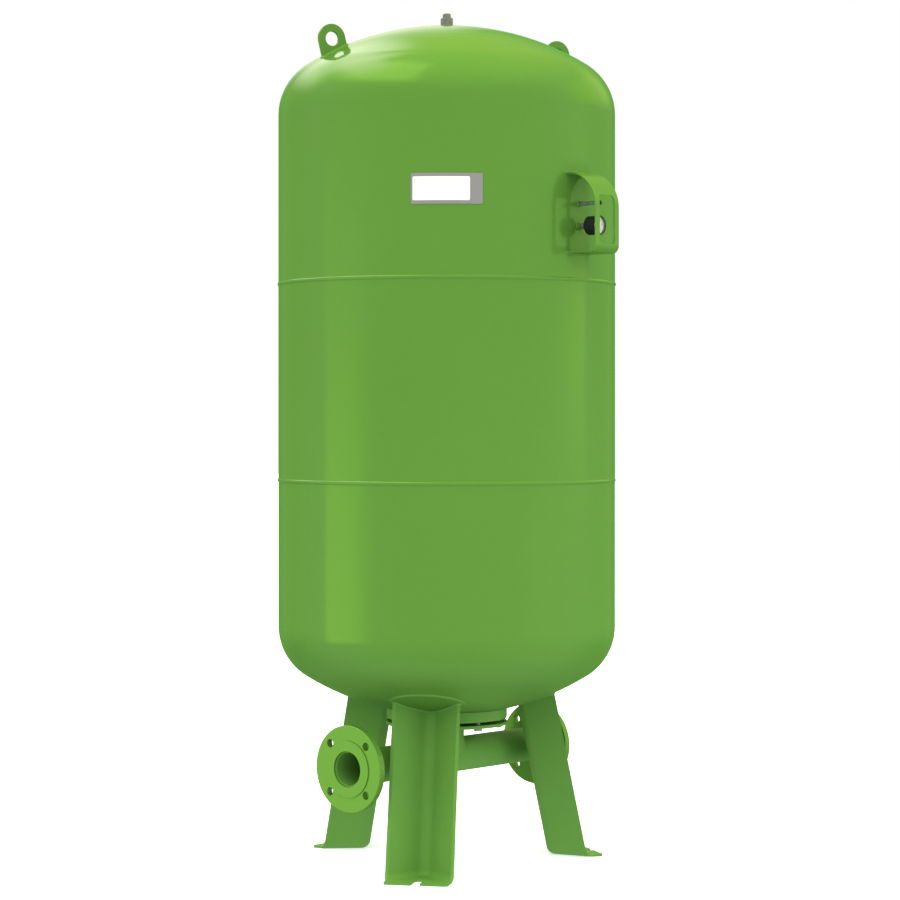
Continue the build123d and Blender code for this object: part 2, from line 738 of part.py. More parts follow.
with BuildPart() as gauge_dial:
    with BuildSketch(facing_plane(dial_seat_x, gauge_z)):
        Circle(gauge_dial_radius)
        Circle(gauge_arbor_radius + slip_gap, mode=Mode.SUBTRACT)
    extrude(amount=gauge_dial_thickness)
gauge_dial.part.label = "gauge_dial"
export_step(gauge_dial.part, "parts/gauge_dial.step")

with BuildPart() as gauge_arbor:
    with BuildSketch(facing_plane(dial_seat_x, gauge_z)):
        Circle(gauge_arbor_radius)
    extrude(amount=gauge_arbor_length)
gauge_arbor.part.label = "gauge_arbor"
export_step(gauge_arbor.part, "parts/gauge_arbor.step")

with BuildPart() as gauge_pointer:
    with BuildSketch(facing_plane(dial_seat_x + pointer_height, gauge_z)) as pointer_section:
        with BuildLine():
            Polyline(
                (-pointer_root_width / 2, -pointer_tail),
                (pointer_root_width / 2, -pointer_tail),
                (pointer_tip_width / 2, pointer_reach),
                (-pointer_tip_width / 2, pointer_reach),
                close=True,
            )
        make_face()
        Circle(pointer_hub_radius)
        Circle(gauge_arbor_radius + running_gap, mode=Mode.SUBTRACT)
    extrude(amount=pointer_thickness)
gauge_axis = Axis((0, -gauge_front_x, gauge_z), (0, 1, 0))
gauge_pointer.part = gauge_pointer.part.rotate(gauge_axis, pointer_rest_angle)
gauge_pointer.part.label = "gauge_pointer"
export_step(gauge_pointer.part, "parts/gauge_pointer.step")

with BuildPart() as gauge_lens:
    with BuildSketch(facing_plane(lens_seat_x, gauge_z)):
        Circle(gauge_lens_radius)
    extrude(amount=gauge_lens_thickness)
gauge_lens.part.label = "gauge_lens"
export_step(gauge_lens.part, "parts/gauge_lens.step")

# ------------------------------------------------------------ gas filling valve

valve_body_x = vessel_radius + valve_socket_length
valve_neck_x = valve_body_x + valve_body_length
valve_end_x = valve_neck_x + valve_neck_length
valve_core_x = valve_end_x - valve_bore_depth
valve_pin_root_x = valve_core_x + valve_pin_travel + slip_gap

with BuildPart() as valve_socket:
    with BuildSketch(facing_plane(0, valve_z)):
        Circle(valve_socket_radius)
    extrude(amount=valve_body_x)
    add(seat_form, mode=Mode.SUBTRACT)
    with BuildSketch(facing_plane(valve_body_x, valve_z)):
        Circle(valve_spigot_radius)
    extrude(amount=-valve_socket_length - valve_spigot_length)
valve_socket.part.label = "valve_socket"
export_step(valve_socket.part, "parts/valve_socket.step")

with BuildPart() as valve_body:
    with BuildSketch(facing_plane(valve_body_x, valve_z)):
        Circle(valve_body_radius)
    extrude(amount=valve_body_length)
    with BuildSketch(facing_plane(valve_neck_x, valve_z)):
        Circle(valve_neck_radius)
    extrude(amount=valve_neck_length)
    with BuildSketch(facing_plane(valve_end_x, valve_z)):
        Circle(valve_bore_radius)
    extrude(amount=-valve_bore_depth, mode=Mode.SUBTRACT)
valve_body.part.label = "valve_body"
export_step(valve_body.part, "parts/valve_body.step")

with BuildPart() as valve_core:
    with BuildSketch(facing_plane(valve_core_x, valve_z)):
        Circle(valve_bore_radius - slip_gap)
        Circle(valve_pin_radius + running_gap, mode=Mode.SUBTRACT)
    extrude(amount=valve_core_length)
valve_core.part.label = "valve_core"
export_step(valve_core.part, "parts/valve_core.step")

with BuildPart() as valve_pin:
    with BuildSketch(facing_plane(valve_pin_root_x, valve_z)):
        Circle(valve_pin_radius)
    extrude(amount=valve_core_x + valve_core_length + valve_pin_proud - valve_pin_root_x)
valve_pin.part.label = "valve_pin"
export_step(valve_pin.part, "parts/valve_pin.step")

with BuildPart() as valve_cap:
    with BuildSketch(facing_plane(valve_neck_x, valve_z)):
        Circle(valve_cap_radius)
        with PolarLocations(valve_cap_radius, valve_cap_flutes):
            Circle(valve_cap_flute_radius, mode=Mode.SUBTRACT)
    extrude(amount=valve_cap_length)
    with BuildSketch(facing_plane(valve_neck_x, valve_z)):
        Circle(valve_neck_radius + seat_gap)
    extrude(amount=valve_cap_length - valve_cap_roof, mode=Mode.SUBTRACT)
valve_cap.part.label = "valve_cap"
export_step(valve_cap.part, "parts/valve_cap.step")

# -------------------------------------------------------------------- name plate

plate_z = upper_seam_z + plate_centre_height
plate_front = vessel_form(seat_gap + plate_thickness)
panel_back = vessel_form(2 * seat_gap + plate_thickness)
panel_front = vessel_form(2 * seat_gap + plate_thickness + panel_thickness)

with BuildPart() as plate_form:
    with BuildSketch(facing_plane(0, plate_z)):
        RectangleRounded(plate_width, plate_height, plate_corner_radius)
    extrude(amount=vessel_radius + knuckle_radius)
    add(plate_front, mode=Mode.INTERSECT)
    add(seat_form, mode=Mode.SUBTRACT)
with BuildPart() as name_plate:
    add(plate_form.part, rotation=(0, 0, plate_azimuth))
name_plate.part.label = "name_plate"
export_step(name_plate.part, "parts/name_plate.step")

with BuildPart() as panel_form:
    with BuildSketch(facing_plane(0, plate_z)):
        with Locations((panel_margin - (plate_width - panel_width) / 2, 0)):
            RectangleRounded(panel_width, panel_height, panel_corner_radius)
    extrude(amount=vessel_radius + knuckle_radius)
    add(panel_front, mode=Mode.INTERSECT)
    add(panel_back, mode=Mode.SUBTRACT)
with BuildPart() as name_panel:
    add(panel_form.part, rotation=(0, 0, plate_azimuth))
name_panel.part.label = "name_panel"
export_step(name_panel.part, "parts/name_panel.step")
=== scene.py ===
"""Finishes, weld beads, gauge dial and studio of a free-standing expansion vessel.

Everything is in metres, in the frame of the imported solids: +Z up along the vessel's axis, the floor at 0, the
flow-through pipe along X and the gauge guard on -Y.
"""

import logging
import math
from collections.abc import Callable, Iterable, Sequence
from dataclasses import dataclass
from enum import Enum

import bmesh
import bpy
from mathutils import Matrix, Vector


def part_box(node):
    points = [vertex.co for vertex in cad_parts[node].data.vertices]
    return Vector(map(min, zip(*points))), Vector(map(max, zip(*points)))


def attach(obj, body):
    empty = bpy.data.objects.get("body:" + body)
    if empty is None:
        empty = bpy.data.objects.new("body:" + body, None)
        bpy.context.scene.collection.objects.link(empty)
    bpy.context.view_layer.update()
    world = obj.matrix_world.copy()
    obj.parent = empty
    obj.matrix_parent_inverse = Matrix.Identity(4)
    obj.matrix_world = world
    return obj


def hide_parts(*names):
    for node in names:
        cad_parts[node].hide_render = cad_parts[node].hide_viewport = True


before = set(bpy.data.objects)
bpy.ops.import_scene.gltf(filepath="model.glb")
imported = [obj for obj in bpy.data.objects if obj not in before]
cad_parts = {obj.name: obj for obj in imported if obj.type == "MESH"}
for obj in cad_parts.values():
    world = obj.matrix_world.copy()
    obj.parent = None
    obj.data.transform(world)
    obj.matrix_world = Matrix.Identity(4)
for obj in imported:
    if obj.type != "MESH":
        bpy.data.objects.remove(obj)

log = logging.getLogger("vessel")
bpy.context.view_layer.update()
MERGE_DISTANCE = 1e-6
SEAT_GAP = 0.0002  # between a curved surface and what is welded to it
UP = Vector((0, 0, 1))
FRONT = Vector((0, -1, 0))

Colour = tuple[float, float, float]
Profile = tuple[tuple[float, float], ...]


class Slot(Enum):
    """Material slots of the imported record."""

    GREEN_COAT = "green_coat"
    ZINC_STEEL = "zinc_steel"
    NICKEL_BRASS = "nickel_brass"
    BARE_BRASS = "bare_brass"
    BLACK_PLASTIC = "black_plastic"
    DIAL_WHITE = "dial_white"
    GAUGE_GLASS = "gauge_glass"
    BUTYL_RUBBER = "butyl_rubber"
    LABEL_GREY = "label_grey"
    LABEL_WHITE = "label_white"


class Body(Enum):
    """Bodies that added pieces ride on."""

    VESSEL = "vessel"
    POINTER = "pointer"
    CAP = "cap"


# ------------------------------------------------------------------------ shader maths


class Signal:
    """One output socket of a node tree that takes part in arithmetic."""

    def __init__(self, shader: "Shader", socket: bpy.types.NodeSocket) -> None:
        """Keeps the output and the shader that new nodes go to."""
        self.shader = shader
        self.socket = socket

    def _math(self, operation: str, first: "Operand", second: "Operand") -> "Signal":
        """Result of one Math node."""
        return self.shader.node("ShaderNodeMath", {"operation": operation}, {0: first, 1: second})

    def __add__(self, other: "Operand") -> "Signal":
        """Sum."""
        return self._math("ADD", self, other)

    def __radd__(self, other: "Operand") -> "Signal":
        """Sum with the signal on the right."""
        return self._math("ADD", other, self)

    def __sub__(self, other: "Operand") -> "Signal":
        """Difference."""
        return self._math("SUBTRACT", self, other)

    def __rsub__(self, other: "Operand") -> "Signal":
        """Difference with the signal on the right."""
        return self._math("SUBTRACT", other, self)

    def __mul__(self, other: "Operand") -> "Signal":
        """Product."""
        return self._math("MULTIPLY", self, other)

    def __rmul__(self, other: "Operand") -> "Signal":
        """Product with the signal on the right."""
        return self._math("MULTIPLY", other, self)


Operand = Signal | float


class Shader:
    """Node tree of one material or world, with one way to add a node."""

    def __init__(self, owner: bpy.types.Material | bpy.types.World) -> None:
        """Empties the owner's node tree.

        Args:
            owner: New material or world.
        """
        self.owner = owner
        owner.use_nodes = True
        self.tree = owner.node_tree
        self.tree.nodes.clear()

    def node(
        self, kind: str, settings: dict | None = None, inputs: dict | None = None, output: int | str = 0
    ) -> Signal:
        """Adds a node of any kind.

        Args:
            kind: Node type.
            settings: The node's own properties. A ramp's stops are given as "stops".
            inputs: Value or signal of each socket, by name or number.
            output: Socket that is handed back.

        Returns:
            The chosen output.
        """
        made = self.tree.nodes.new(kind)
        for key, value in (settings or {}).items():
            if key == "stops":
                self._set_stops(made.color_ramp, value)
            else:
                setattr(made, key, value)
        for key, value in (inputs or {}).items():
            if isinstance(value, Signal):
                self.tree.links.new(value.socket, made.inputs[key])
            else:
                made.inputs[key].default_value = value
        return Signal(self, made.outputs[output])

    @staticmethod
    def _set_stops(ramp: bpy.types.ColorRamp, stops: Sequence[tuple[float, float]]) -> None:
        """Gives a colour ramp grey stops.

        Args:
            ramp: Ramp with Blender's two first stops.
            stops: Position and grey value of each stop, from left to right.
        """
        while len(ramp.elements) < len(stops):
            ramp.elements.new(1.0)
        for element, (position, grey) in zip(ramp.elements, stops):
            element.position = position
            element.color = (grey, grey, grey, 1.0)

    def place(self) -> Signal:
        """Position on the object, in metres."""
        return self.node("ShaderNodeTexCoord", output="Object")

    def noise(self, place: Signal, scale: float, detail: float = 2.0, roughness: float = 0.5) -> Signal:
        """Smooth noise between about 0.3 and 0.7, with its features per metre and octaves."""
        sizes = {"Vector": place, "Scale": scale, "Detail": detail, "Roughness": roughness}
        return self.node("ShaderNodeTexNoise", inputs=sizes)

    def ramp(self, value: Signal, low: float, high: float) -> Signal:
        """Grey ramp over a value, black up to the low position and white from the high one."""
        return self.node("ShaderNodeValToRGB", {"stops": ((low, 0.0), (high, 1.0))}, {0: value})

    def blend(self, share: Operand, low: "Colour | Signal", high: "Colour | Signal") -> Signal:
        """Mixes two colours.

        Args:
            share: 0 gives the first colour, 1 the second.
            low: First colour.
            high: Second colour.

        Returns:
            The mixed colour.
        """
        colours = {"Factor": share}
        for socket, colour in {6: low, 7: high}.items():
            colours[socket] = colour if isinstance(colour, Signal) else (*colour, 1.0)
        return self.node("ShaderNodeMix", {"data_type": "RGBA"}, colours, output=2)

    def fade(self, value: Operand, low: float, high: float) -> Signal:
        """Smooth step from 0 at the low value to 1 at the high one, which may be the smaller of the two."""
        smooth = {"interpolation_type": "SMOOTHSTEP"}
        return self.node("ShaderNodeMapRange", smooth, {0: value, 1: low, 2: high})

    def along(self, way: Signal, direction: Vector) -> Signal:
        """Part of a vector that points along a unit direction."""
        product = {"operation": "DOT_PRODUCT"}
        return self.node("ShaderNodeVectorMath", product, {0: way, 1: direction}, output="Value")

    def bump(self, height: Signal, distance: float) -> Signal:
        """Normal that follows a height between 0 and 1, with the distance in metres from 0 to 1."""
        return self.node("ShaderNodeBump", inputs={"Height": height, "Distance": distance, "Strength": 1.0})

    def surface(self, inputs: dict) -> bpy.types.Material:
        """Ends the tree in one Principled shader.

        Args:
            inputs: Values and signals of the shader's sockets.

        Returns:
            The finished material.
        """
        shade = self.node("ShaderNodeBsdfPrincipled", inputs=inputs)
        self.end(shade, "ShaderNodeOutputMaterial")
        return self.owner

    def end(self, shade: Signal, kind: str) -> None:
        """Links a shader to a new output node."""
        output = self.tree.nodes.new(kind)
        self.tree.links.new(shade.socket, output.inputs["Surface"])


# --------------------------------------------------------------------------- finishes


@dataclass(frozen=True)
class Finish:
    """Common fields of every finish."""

    name: str
    colour: Colour

    def shader(self) -> Shader:
        """Empty shader of the finish's own material."""
        return Shader(bpy.data.materials.new(self.name))

    def shade(self, factor: float) -> Colour:
        """The finish's colour, darker or lighter by a factor."""
        return tuple(min(1.0, channel * factor) for channel in self.colour)


@dataclass(frozen=True)
class GlossCoat(Finish):
    """Sprayed and baked gloss coat, with a fine orange peel and slight clouding.

    It is duller between the foot and the head of its haze, under the lower dished end, which less spray
    reaches.
    """

    cloud_scale: float = 2.3
    cloud_depth: float = 0.05
    mottle_scale: float = 60.0
    mottle_depth: float = 0.025
    peel_scale: float = 420.0
    peel_height: float = 0.000012
    cloud_share: float = 0.6
    smudge_bounds: tuple[float, float] = (0.35, 0.65)
    roughness: float = 0.11
    roughness_spread: float = 0.06
    metallic: float = 0.18
    gloss: float = 0.5
    gloss_tint: Colour = (0.25, 0.5, 0.22)
    haze: float = 0.3
    haze_foot: tuple[float, float] = (0.33, 0.35)
    haze_head: tuple[float, float] = (0.42, 0.475)

    def material(self) -> bpy.types.Material:
        """Builds the coat's material.

        Returns:
            The material.
        """
        shader = self.shader()
        place = shader.place()
        cloud = shader.noise(place, self.cloud_scale, 3.0)
        mottle = shader.noise(place, self.mottle_scale, 4.0)
        peel = shader.noise(place, self.peel_scale, 1.5, 0.4)
        tone = cloud * self.cloud_share + mottle * (1 - self.cloud_share)
        depth = self.cloud_depth + self.mottle_depth
        colour = shader.blend(tone, self.shade(1 - depth), self.shade(1 + depth))
        smudge = shader.ramp(cloud, *self.smudge_bounds)
        wear = self.roughness_spread * (smudge * 0.5 + mottle * 0.5)
        height = shader.along(place, UP)
        under = shader.fade(height, *self.haze_foot) * (1 - shader.fade(height, *self.haze_head))
        return shader.surface(
            {
                "Base Color": colour,
                "Metallic": self.metallic,
                "Roughness": self.roughness + wear + self.haze * under,
                "Specular IOR Level": self.gloss,
                "Specular Tint": (*self.gloss_tint, 1.0),
                "Normal": shader.bump(peel, self.peel_height),
            }
        )


@dataclass(frozen=True)
class PatchedFinish(Finish):
    """Finish with soft patches in its tone and gloss, over a fine relief."""

    patch_scale: float = 80.0
    patch_detail: float = 3.0
    patch_roughness: float = 0.5
    patch_bounds: tuple[float, float] = (0.0, 1.0)
    patch_shades: tuple[float, float] = (0.8, 1.25)
    relief_scale: float = 1600.0
    relief_height: float = 0.00002
    roughness: float = 0.38
    roughness_spread: float = 0.15
    metallic: float = 0.0
    gloss: float = 0.5

    def material(self) -> bpy.types.Material:
        """Builds the finish's material.

        Returns:
            The material.
        """
        shader = self.shader()
        place = shader.place()
        patch = shader.noise(place, self.patch_scale, self.patch_detail, self.patch_roughness)
        relief = shader.noise(place, self.relief_scale)
        tone = shader.ramp(patch, *self.patch_bounds)
        return shader.surface(
            {
                "Base Color": shader.blend(tone, *map(self.shade, self.patch_shades)),
                "Metallic": self.metallic,
                "Roughness": self.roughness + self.roughness_spread * patch,
                "Specular IOR Level": self.gloss,
                "Normal": shader.bump(relief, self.relief_height),
            }
        )


@dataclass(frozen=True)
class PlatedSteel(PatchedFinish):
    """Dull zinc or nickel plate with stains and fine drawing lines."""

    patch_scale: float = 90.0
    patch_detail: float = 4.0
    patch_roughness: float = 0.6
    patch_bounds: tuple[float, float] = (0.38, 0.62)
    patch_shades: tuple[float, float] = (0.78, 1.12)
    relief_scale: float = 900.0
    relief_height: float = 0.00001
    roughness: float = 0.34
    roughness_spread: float = 0.16
    metallic: float = 1.0


@dataclass(frozen=True)
class MouldedPlastic(PatchedFinish):
    """Moulded plastic with faint wear and a fine spark-eroded texture."""

    gloss: float = 0.15


@dataclass(frozen=True)
class Rubber(PatchedFinish):
    """Matt butyl rubber with a bloom of moulding talc."""

    patch_scale: float = 24.0
    patch_detail: float = 5.0
    patch_roughness: float = 0.65
    patch_shades: tuple[float, float] = (0.7, 1.9)
    relief_scale: float = 960.0
    relief_height: float = 0.00005
    roughness: float = 0.62
    roughness_spread: float = 0.2


@dataclass(frozen=True)
class PrintedFilm(Finish):
    """Satin adhesive film, faintly uneven where it was pressed down."""

    wave_scale: float = 38.0
    wave_height: float = 0.00006
    fibre_scale: float = 2280.0
    shades: tuple[float, float] = (0.95, 1.04)
    roughness: float = 0.30
    roughness_spread: float = 0.12

    def material(self) -> bpy.types.Material:
        """Builds the film's material.

        Returns:
            The material.
        """
        shader = self.shader()
        place = shader.place()
        wave = shader.noise(place, self.wave_scale, 2.0)
        fibre = shader.noise(place, self.fibre_scale, 2.0)
        colour = shader.blend(fibre * 0.5 + wave * 0.5, *map(self.shade, self.shades))
        return shader.surface(
            {
                "Base Color": colour,
                "Roughness": self.roughness + self.roughness_spread * fibre,
                "Normal": shader.bump(wave, self.wave_height),
            }
        )


@dataclass(frozen=True)
class ClearGlass(Finish):
    """Clear gauge window with a trace of dust."""

    dust_scale: float = 700.0
    dust_bounds: tuple[float, float] = (0.45, 0.75)
    dust_shades: tuple[float, float] = (1.0, 0.7)
    clear: float = 0.10
    dusty: float = 0.22
    roughness: float = 0.03
    roughness_spread: float = 0.15

    def material(self) -> bpy.types.Material:
        """Builds the glass's material.

        Returns:
            The material.
        """
        shader = self.shader()
        dust = shader.noise(shader.place(), self.dust_scale, 4.0, 0.7)
        film = shader.ramp(dust, *self.dust_bounds)
        return shader.surface(
            {
                "Base Color": shader.blend(film, *map(self.shade, self.dust_shades)),
                "Roughness": self.roughness + self.roughness_spread * film,
                "Alpha": self.clear + (self.dusty - self.clear) * film,
            }
        )


class Palette:
    """One material for each finish on the vessel."""

    def __init__(self) -> None:
        """Builds the materials."""
        self.materials: dict[Slot, bpy.types.Material] = {
            Slot.GREEN_COAT: GlossCoat("gloss_green_coat", (0.1025, 0.2585, 0.0395)).material(),
            Slot.ZINC_STEEL: PlatedSteel("dull_zinc_plate", (0.40, 0.40, 0.41), metallic=0.4).material(),
            # Nickel plate whose grey carries a green cast. The cast is a painted reflection of the green coat
            # round the gauge stem and the valve.
            Slot.NICKEL_BRASS: PlatedSteel("nickelled_brass_green_reflection", (0.17, 0.25, 0.17), metallic=0.5).material(),
            Slot.BARE_BRASS: PlatedSteel("turned_brass", (0.66, 0.47, 0.20)).material(),
            Slot.BLACK_PLASTIC: MouldedPlastic("black_moulding", (0.012, 0.012, 0.013)).material(),
            Slot.DIAL_WHITE: PrintedFilm("dial_lacquer", (0.78, 0.78, 0.76)).material(),
            Slot.GAUGE_GLASS: ClearGlass("gauge_window", (0.9, 0.92, 0.9)).material(),
            Slot.BUTYL_RUBBER: Rubber("butyl_rubber_skin", (0.02, 0.02, 0.022)).material(),
            Slot.LABEL_GREY: PrintedFilm("grey_film", (0.228, 0.230, 0.238)).material(),
            Slot.LABEL_WHITE: PrintedFilm("white_film", (0.88, 0.88, 0.88)).material(),
        }
        # Lighter, bluer copy of the green coat. Its extra lightness is painted light for the legs, pipe, neck
        # ring and cover, which lie in the vessel's shade. Its roughness and gloss are its own.
        self.stand_coat = GlossCoat(
            "stand_green_coat_painted_light", (0.113, 0.283, 0.052), roughness=0.42, metallic=0.0, gloss=0.25
        ).material()
        self.weathered_zinc = PlatedSteel("weathered_zinc", (0.19, 0.19, 0.19), metallic=0.2).material()
        self.dial_ink = MouldedPlastic("dial_ink", (0.015, 0.015, 0.016)).material()

    def dress(self, slot: Slot, *nodes: str, material: bpy.types.Material | None = None) -> None:
        """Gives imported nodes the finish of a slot.

        Args:
            slot: Slot of the record.
            nodes: Names of the nodes.
            material: Variant of the finish, if not the usual one.
        """
        for node in nodes:
            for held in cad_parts[node].material_slots:
                held.material = material or self.materials[slot]


# ------------------------------------------------------------------------ mesh helpers


class Skin:
    """Mesh of one piece while it is being made."""

    def __init__(self) -> None:
        """Starts an empty mesh."""
        self.mesh = bmesh.new()

    def loft(self, rows: Sequence[Sequence[Vector]], rows_closed: bool, loop_closed: bool) -> None:
        """Joins rows of points by quads.

        Args:
            rows: Rows with the same number of points.
            rows_closed: Whether each row is a ring.
            loop_closed: Whether the last row joins the first one.
        """
        made = [[self.mesh.verts.new(point) for point in row] for row in rows]
        pairs = list(zip(made, made[1:] + made[:1])) if loop_closed else list(zip(made, made[1:]))
        for row, other in pairs:
            count = len(row) if rows_closed else len(row) - 1
            for i in range(count):
                j = (i + 1) % len(row)
                self.mesh.faces.new((row[i], row[j], other[j], other[i]))
        if rows_closed and not loop_closed:
            self.mesh.faces.new(list(reversed(made[0])))
            self.mesh.faces.new(made[-1])

    def ring(self, centre: Vector, axis: Vector, profile: Profile, steps: int = 64) -> None:
        """Turns a closed profile round an axis.

        Args:
            centre: Point on the axis that lengths start from.
            axis: Unit direction of the axis.
            profile: Radius and length along the axis of each corner.
            steps: Number of sides.
        """
        first = axis.orthogonal().normalized()
        second = axis.cross(first)
        rows = []
        for step in range(steps):
            turn = math.tau * step / steps
            outward = first * math.cos(turn) + second * math.sin(turn)
            rows.append([centre + outward * radius + axis * length for radius, length in profile])
        self.loft(rows, rows_closed=True, loop_closed=True)


def compass(azimuth: float) -> Vector:
    """Outward direction at an azimuth in degrees, which is 0 along -Y and grows towards +X."""
    angle = math.radians(azimuth)
    return Vector((math.sin(angle), -math.cos(angle), 0.0))


def welded_mesh(node: str) -> bmesh.types.BMesh:
    """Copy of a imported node's mesh, with the corners that faces share joined.

    Args:
        node: The node's name.

    Returns:
        The copy, which the caller frees.
    """
    mesh = bmesh.new()
    mesh.from_mesh(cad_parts[node].data)
    bmesh.ops.remove_doubles(mesh, verts=mesh.verts, dist=MERGE_DISTANCE)
    return mesh


def middle(node: str) -> Vector:
    """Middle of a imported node's box."""
    low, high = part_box(node)
    return (low + high) / 2


def at_front(axis: Vector, node: str) -> Vector:
    """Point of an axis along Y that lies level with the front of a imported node."""
    return Vector((axis.x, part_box(node)[0].y, axis.z))


@dataclass(frozen=True)
class ShellSurface:
    """Outer surface of the vessel: a cylinder with a knuckle and a crown at each end."""

    radius: float = 0.370
    crown_radius: float = 0.592
    knuckle_radius: float = 0.125
    lower_tangent: float = 0.516
    upper_tangent: float = 1.637

    def offset(self, point: Vector) -> tuple[float, Vector]:
        """Distance from the surface.

        Args:
            point: Any point near the surface.

        Returns:
            The distance, positive outside, and the outward normal.
        """
        reach = math.hypot(point.x, point.y)
        outward = Vector((point.x / reach, point.y / reach, 0.0)) if reach > 0 else Vector((1, 0, 0))
        if self.lower_tangent <= point.z <= self.upper_tangent:
            return reach - self.radius, outward
        side, tangent = (1, self.upper_tangent) if point.z > self.upper_tangent else (-1, self.lower_tangent)
        hinge = self.radius - self.knuckle_radius
        turn = math.asin(hinge / (self.crown_radius - self.knuckle_radius))
        depth = (self.crown_radius - self.knuckle_radius) * math.cos(turn)
        rise = (point.z - tangent) * side
        if math.atan2(reach, rise + depth) < turn:
            flat, tall, size = reach, rise + depth, self.crown_radius
        else:
            flat, tall, size = reach - hinge, rise, self.knuckle_radius
        length = math.hypot(flat, tall)
        return length - size, (outward * flat + UP * side * tall) / length


SHELL = ShellSurface()


@dataclass(frozen=True)
class LevelSurface:
    """Level face that a piece is welded to from below."""

    height: float

    def offset(self, point: Vector) -> tuple[float, Vector]:
        """Distance below the face, with the downward normal."""
        return self.height - point.z, -UP


Surface = ShellSurface | LevelSurface
EdgeTest = Callable[[Vector, Vector], bool]
Outline = list[tuple[Vector, Vector]]


@dataclass(frozen=True)
class WeldStitch:
    """One sample of a weld's root, with the directions of the two faces it joins."""

    root: Vector
    along_base: Vector
    along_piece: Vector


@dataclass(frozen=True)
class WeldBead:
    """Painted fillet weld with the ripples that its torch leaves."""

    leg: float = 0.004
    pitch: float = 0.0036
    step: float = 0.0012
    ripple: float = 0.07
    ripple_depth: float = 0.96
    shoulder: tuple[float, float] = (0.82, 0.22)
    fullness: float = 0.60
    bury: float = 0.0004
    seat_tolerance: float = 0.0004
    foot_turn: float = -0.7
    corner_window: int = 2

    def bead(
        self, skin: Skin, stitches: Sequence[WeldStitch], closed: bool, scales: Sequence[float] | None = None
    ) -> None:
        """Adds the bead along a row of stitches.

        Args:
            skin: Mesh that takes it.
            stitches: Samples along the weld, a step apart.
            closed: Whether the weld comes back to its start.
            scales: Share of the leg at each stitch.
        """
        rows = []
        run = 0.0
        wide, narrow = self.shoulder
        for number, stitch in enumerate(stitches):
            if number:
                run += (stitch.root - stitches[number - 1].root).length
            phase = (run / self.pitch) % 1.0
            swell = 1 - self.ripple * (1 - math.sqrt(1 - (2 * phase - 1) ** 2 * self.ripple_depth))
            leg = self.leg * swell * (scales[number] if scales else 1.0)
            base, wall = stitch.along_base, stitch.along_piece
            rows.append(
                [
                    stitch.root - (base + wall) * self.bury,
                    stitch.root + base * leg - wall * self.bury,
                    stitch.root + base * leg * wide + wall * leg * narrow,
                    stitch.root + (base + wall) * (self.fullness * leg),
                    stitch.root + base * leg * narrow + wall * leg * wide,
                    stitch.root + wall * leg - base * self.bury,
                ]
            )
        skin.loft(rows, rows_closed=True, loop_closed=closed)

    def round_node(
        self, skin: Skin, node: str, surface: Surface, growth: float, keep: EdgeTest = lambda root, side: True
    ) -> int:
        """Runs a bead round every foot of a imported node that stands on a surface.

        Args:
            skin: Mesh that takes the beads.
            node: The node's name.
            surface: Surface that it is welded to.
            growth: Distance of its foot from that surface.
            keep: Takes the root and the side's normal, and says whether that edge is welded.

        Returns:
            The number of beads.
        """
        loops = self._foot_loops(node, surface, growth, keep)
        for loop in loops:
            self.bead(skin, self._stitches(loop, surface, growth), closed=True)
        return len(loops)

    def _foot_loops(self, node: str, surface: Surface, growth: float, keep: EdgeTest) -> list[Outline]:
        """Finds the closed outlines of a node's feet on a surface.

        Args:
            node: The node's name.
            surface: Surface that it stands on.
            growth: Distance of its foot from that surface.
            keep: Says which edges count.

        Returns:
            For each outline, its corners in order, each with the normal of the side face after it.
        """
        mesh = welded_mesh(node)
        mesh.normal_update()
        seated = {
            vert.index: abs(surface.offset(vert.co)[0] - growth) < self.seat_tolerance for vert in mesh.verts
        }

        def is_foot(face: bmesh.types.BMFace) -> bool:
            """Whether a face lies on the surface."""
            turn = surface.offset(face.calc_center_median())[1].dot(face.normal)
            return turn < self.foot_turn and all(seated[vert.index] for vert in face.verts)

        follows: dict[int, tuple[int, Vector]] = {}
        for edge in mesh.edges:
            if len(edge.link_faces) != 2:
                continue
            feet = [is_foot(face) for face in edge.link_faces]
            if feet[0] == feet[1]:
                continue
            foot, side = edge.link_faces if feet[0] else reversed(edge.link_faces)
            if not keep(edge.verts[0].co, side.normal):
                continue
            for loop in foot.loops:
                if loop.edge == edge:
                    follows[loop.vert.index] = (loop.link_loop_next.vert.index, side.normal.copy())
        mesh.verts.ensure_lookup_table()
        places = {vert.index: vert.co.copy() for vert in mesh.verts}
        mesh.free()
        outlines = []
        while follows:
            here = min(follows)
            outline = []
            while here in follows:
                following, side = follows.pop(here)
                outline.append((places[here], side))
                here = following
            outlines.append(outline)
        return outlines

    def _stitches(self, outline: Outline, surface: Surface, growth: float) -> list[WeldStitch]:
        """Cuts an outline into stitches a step apart.

        Args:
            outline: Corners and side normals.
            surface: Surface under the weld.
            growth: Distance of the foot from that surface.

        Returns:
            The stitches.
        """
        samples = []
        for (start, side), (end, _) in zip(outline, outline[1:] + outline[:1]):
            pieces = max(1, round((end - start).length / self.step))
            samples += [(start.lerp(end, i / pieces), side) for i in range(pieces)]
        stitches = []
        count = len(samples)
        for i, (point, _) in enumerate(samples):
            window = range(i - self.corner_window, i + self.corner_window + 1)
            side = sum((samples[j % count][1] for j in window), Vector()).normalized()
            distance, normal = surface.offset(point)
            root = point - normal * (distance - growth)
            base = (side - normal * side.dot(normal)).normalized()
            wall = (normal - side * normal.dot(side)).normalized()
            stitches.append(WeldStitch(root, base, wall))
        return stitches


# ------------------------------------------------------------------------ sub-assemblies


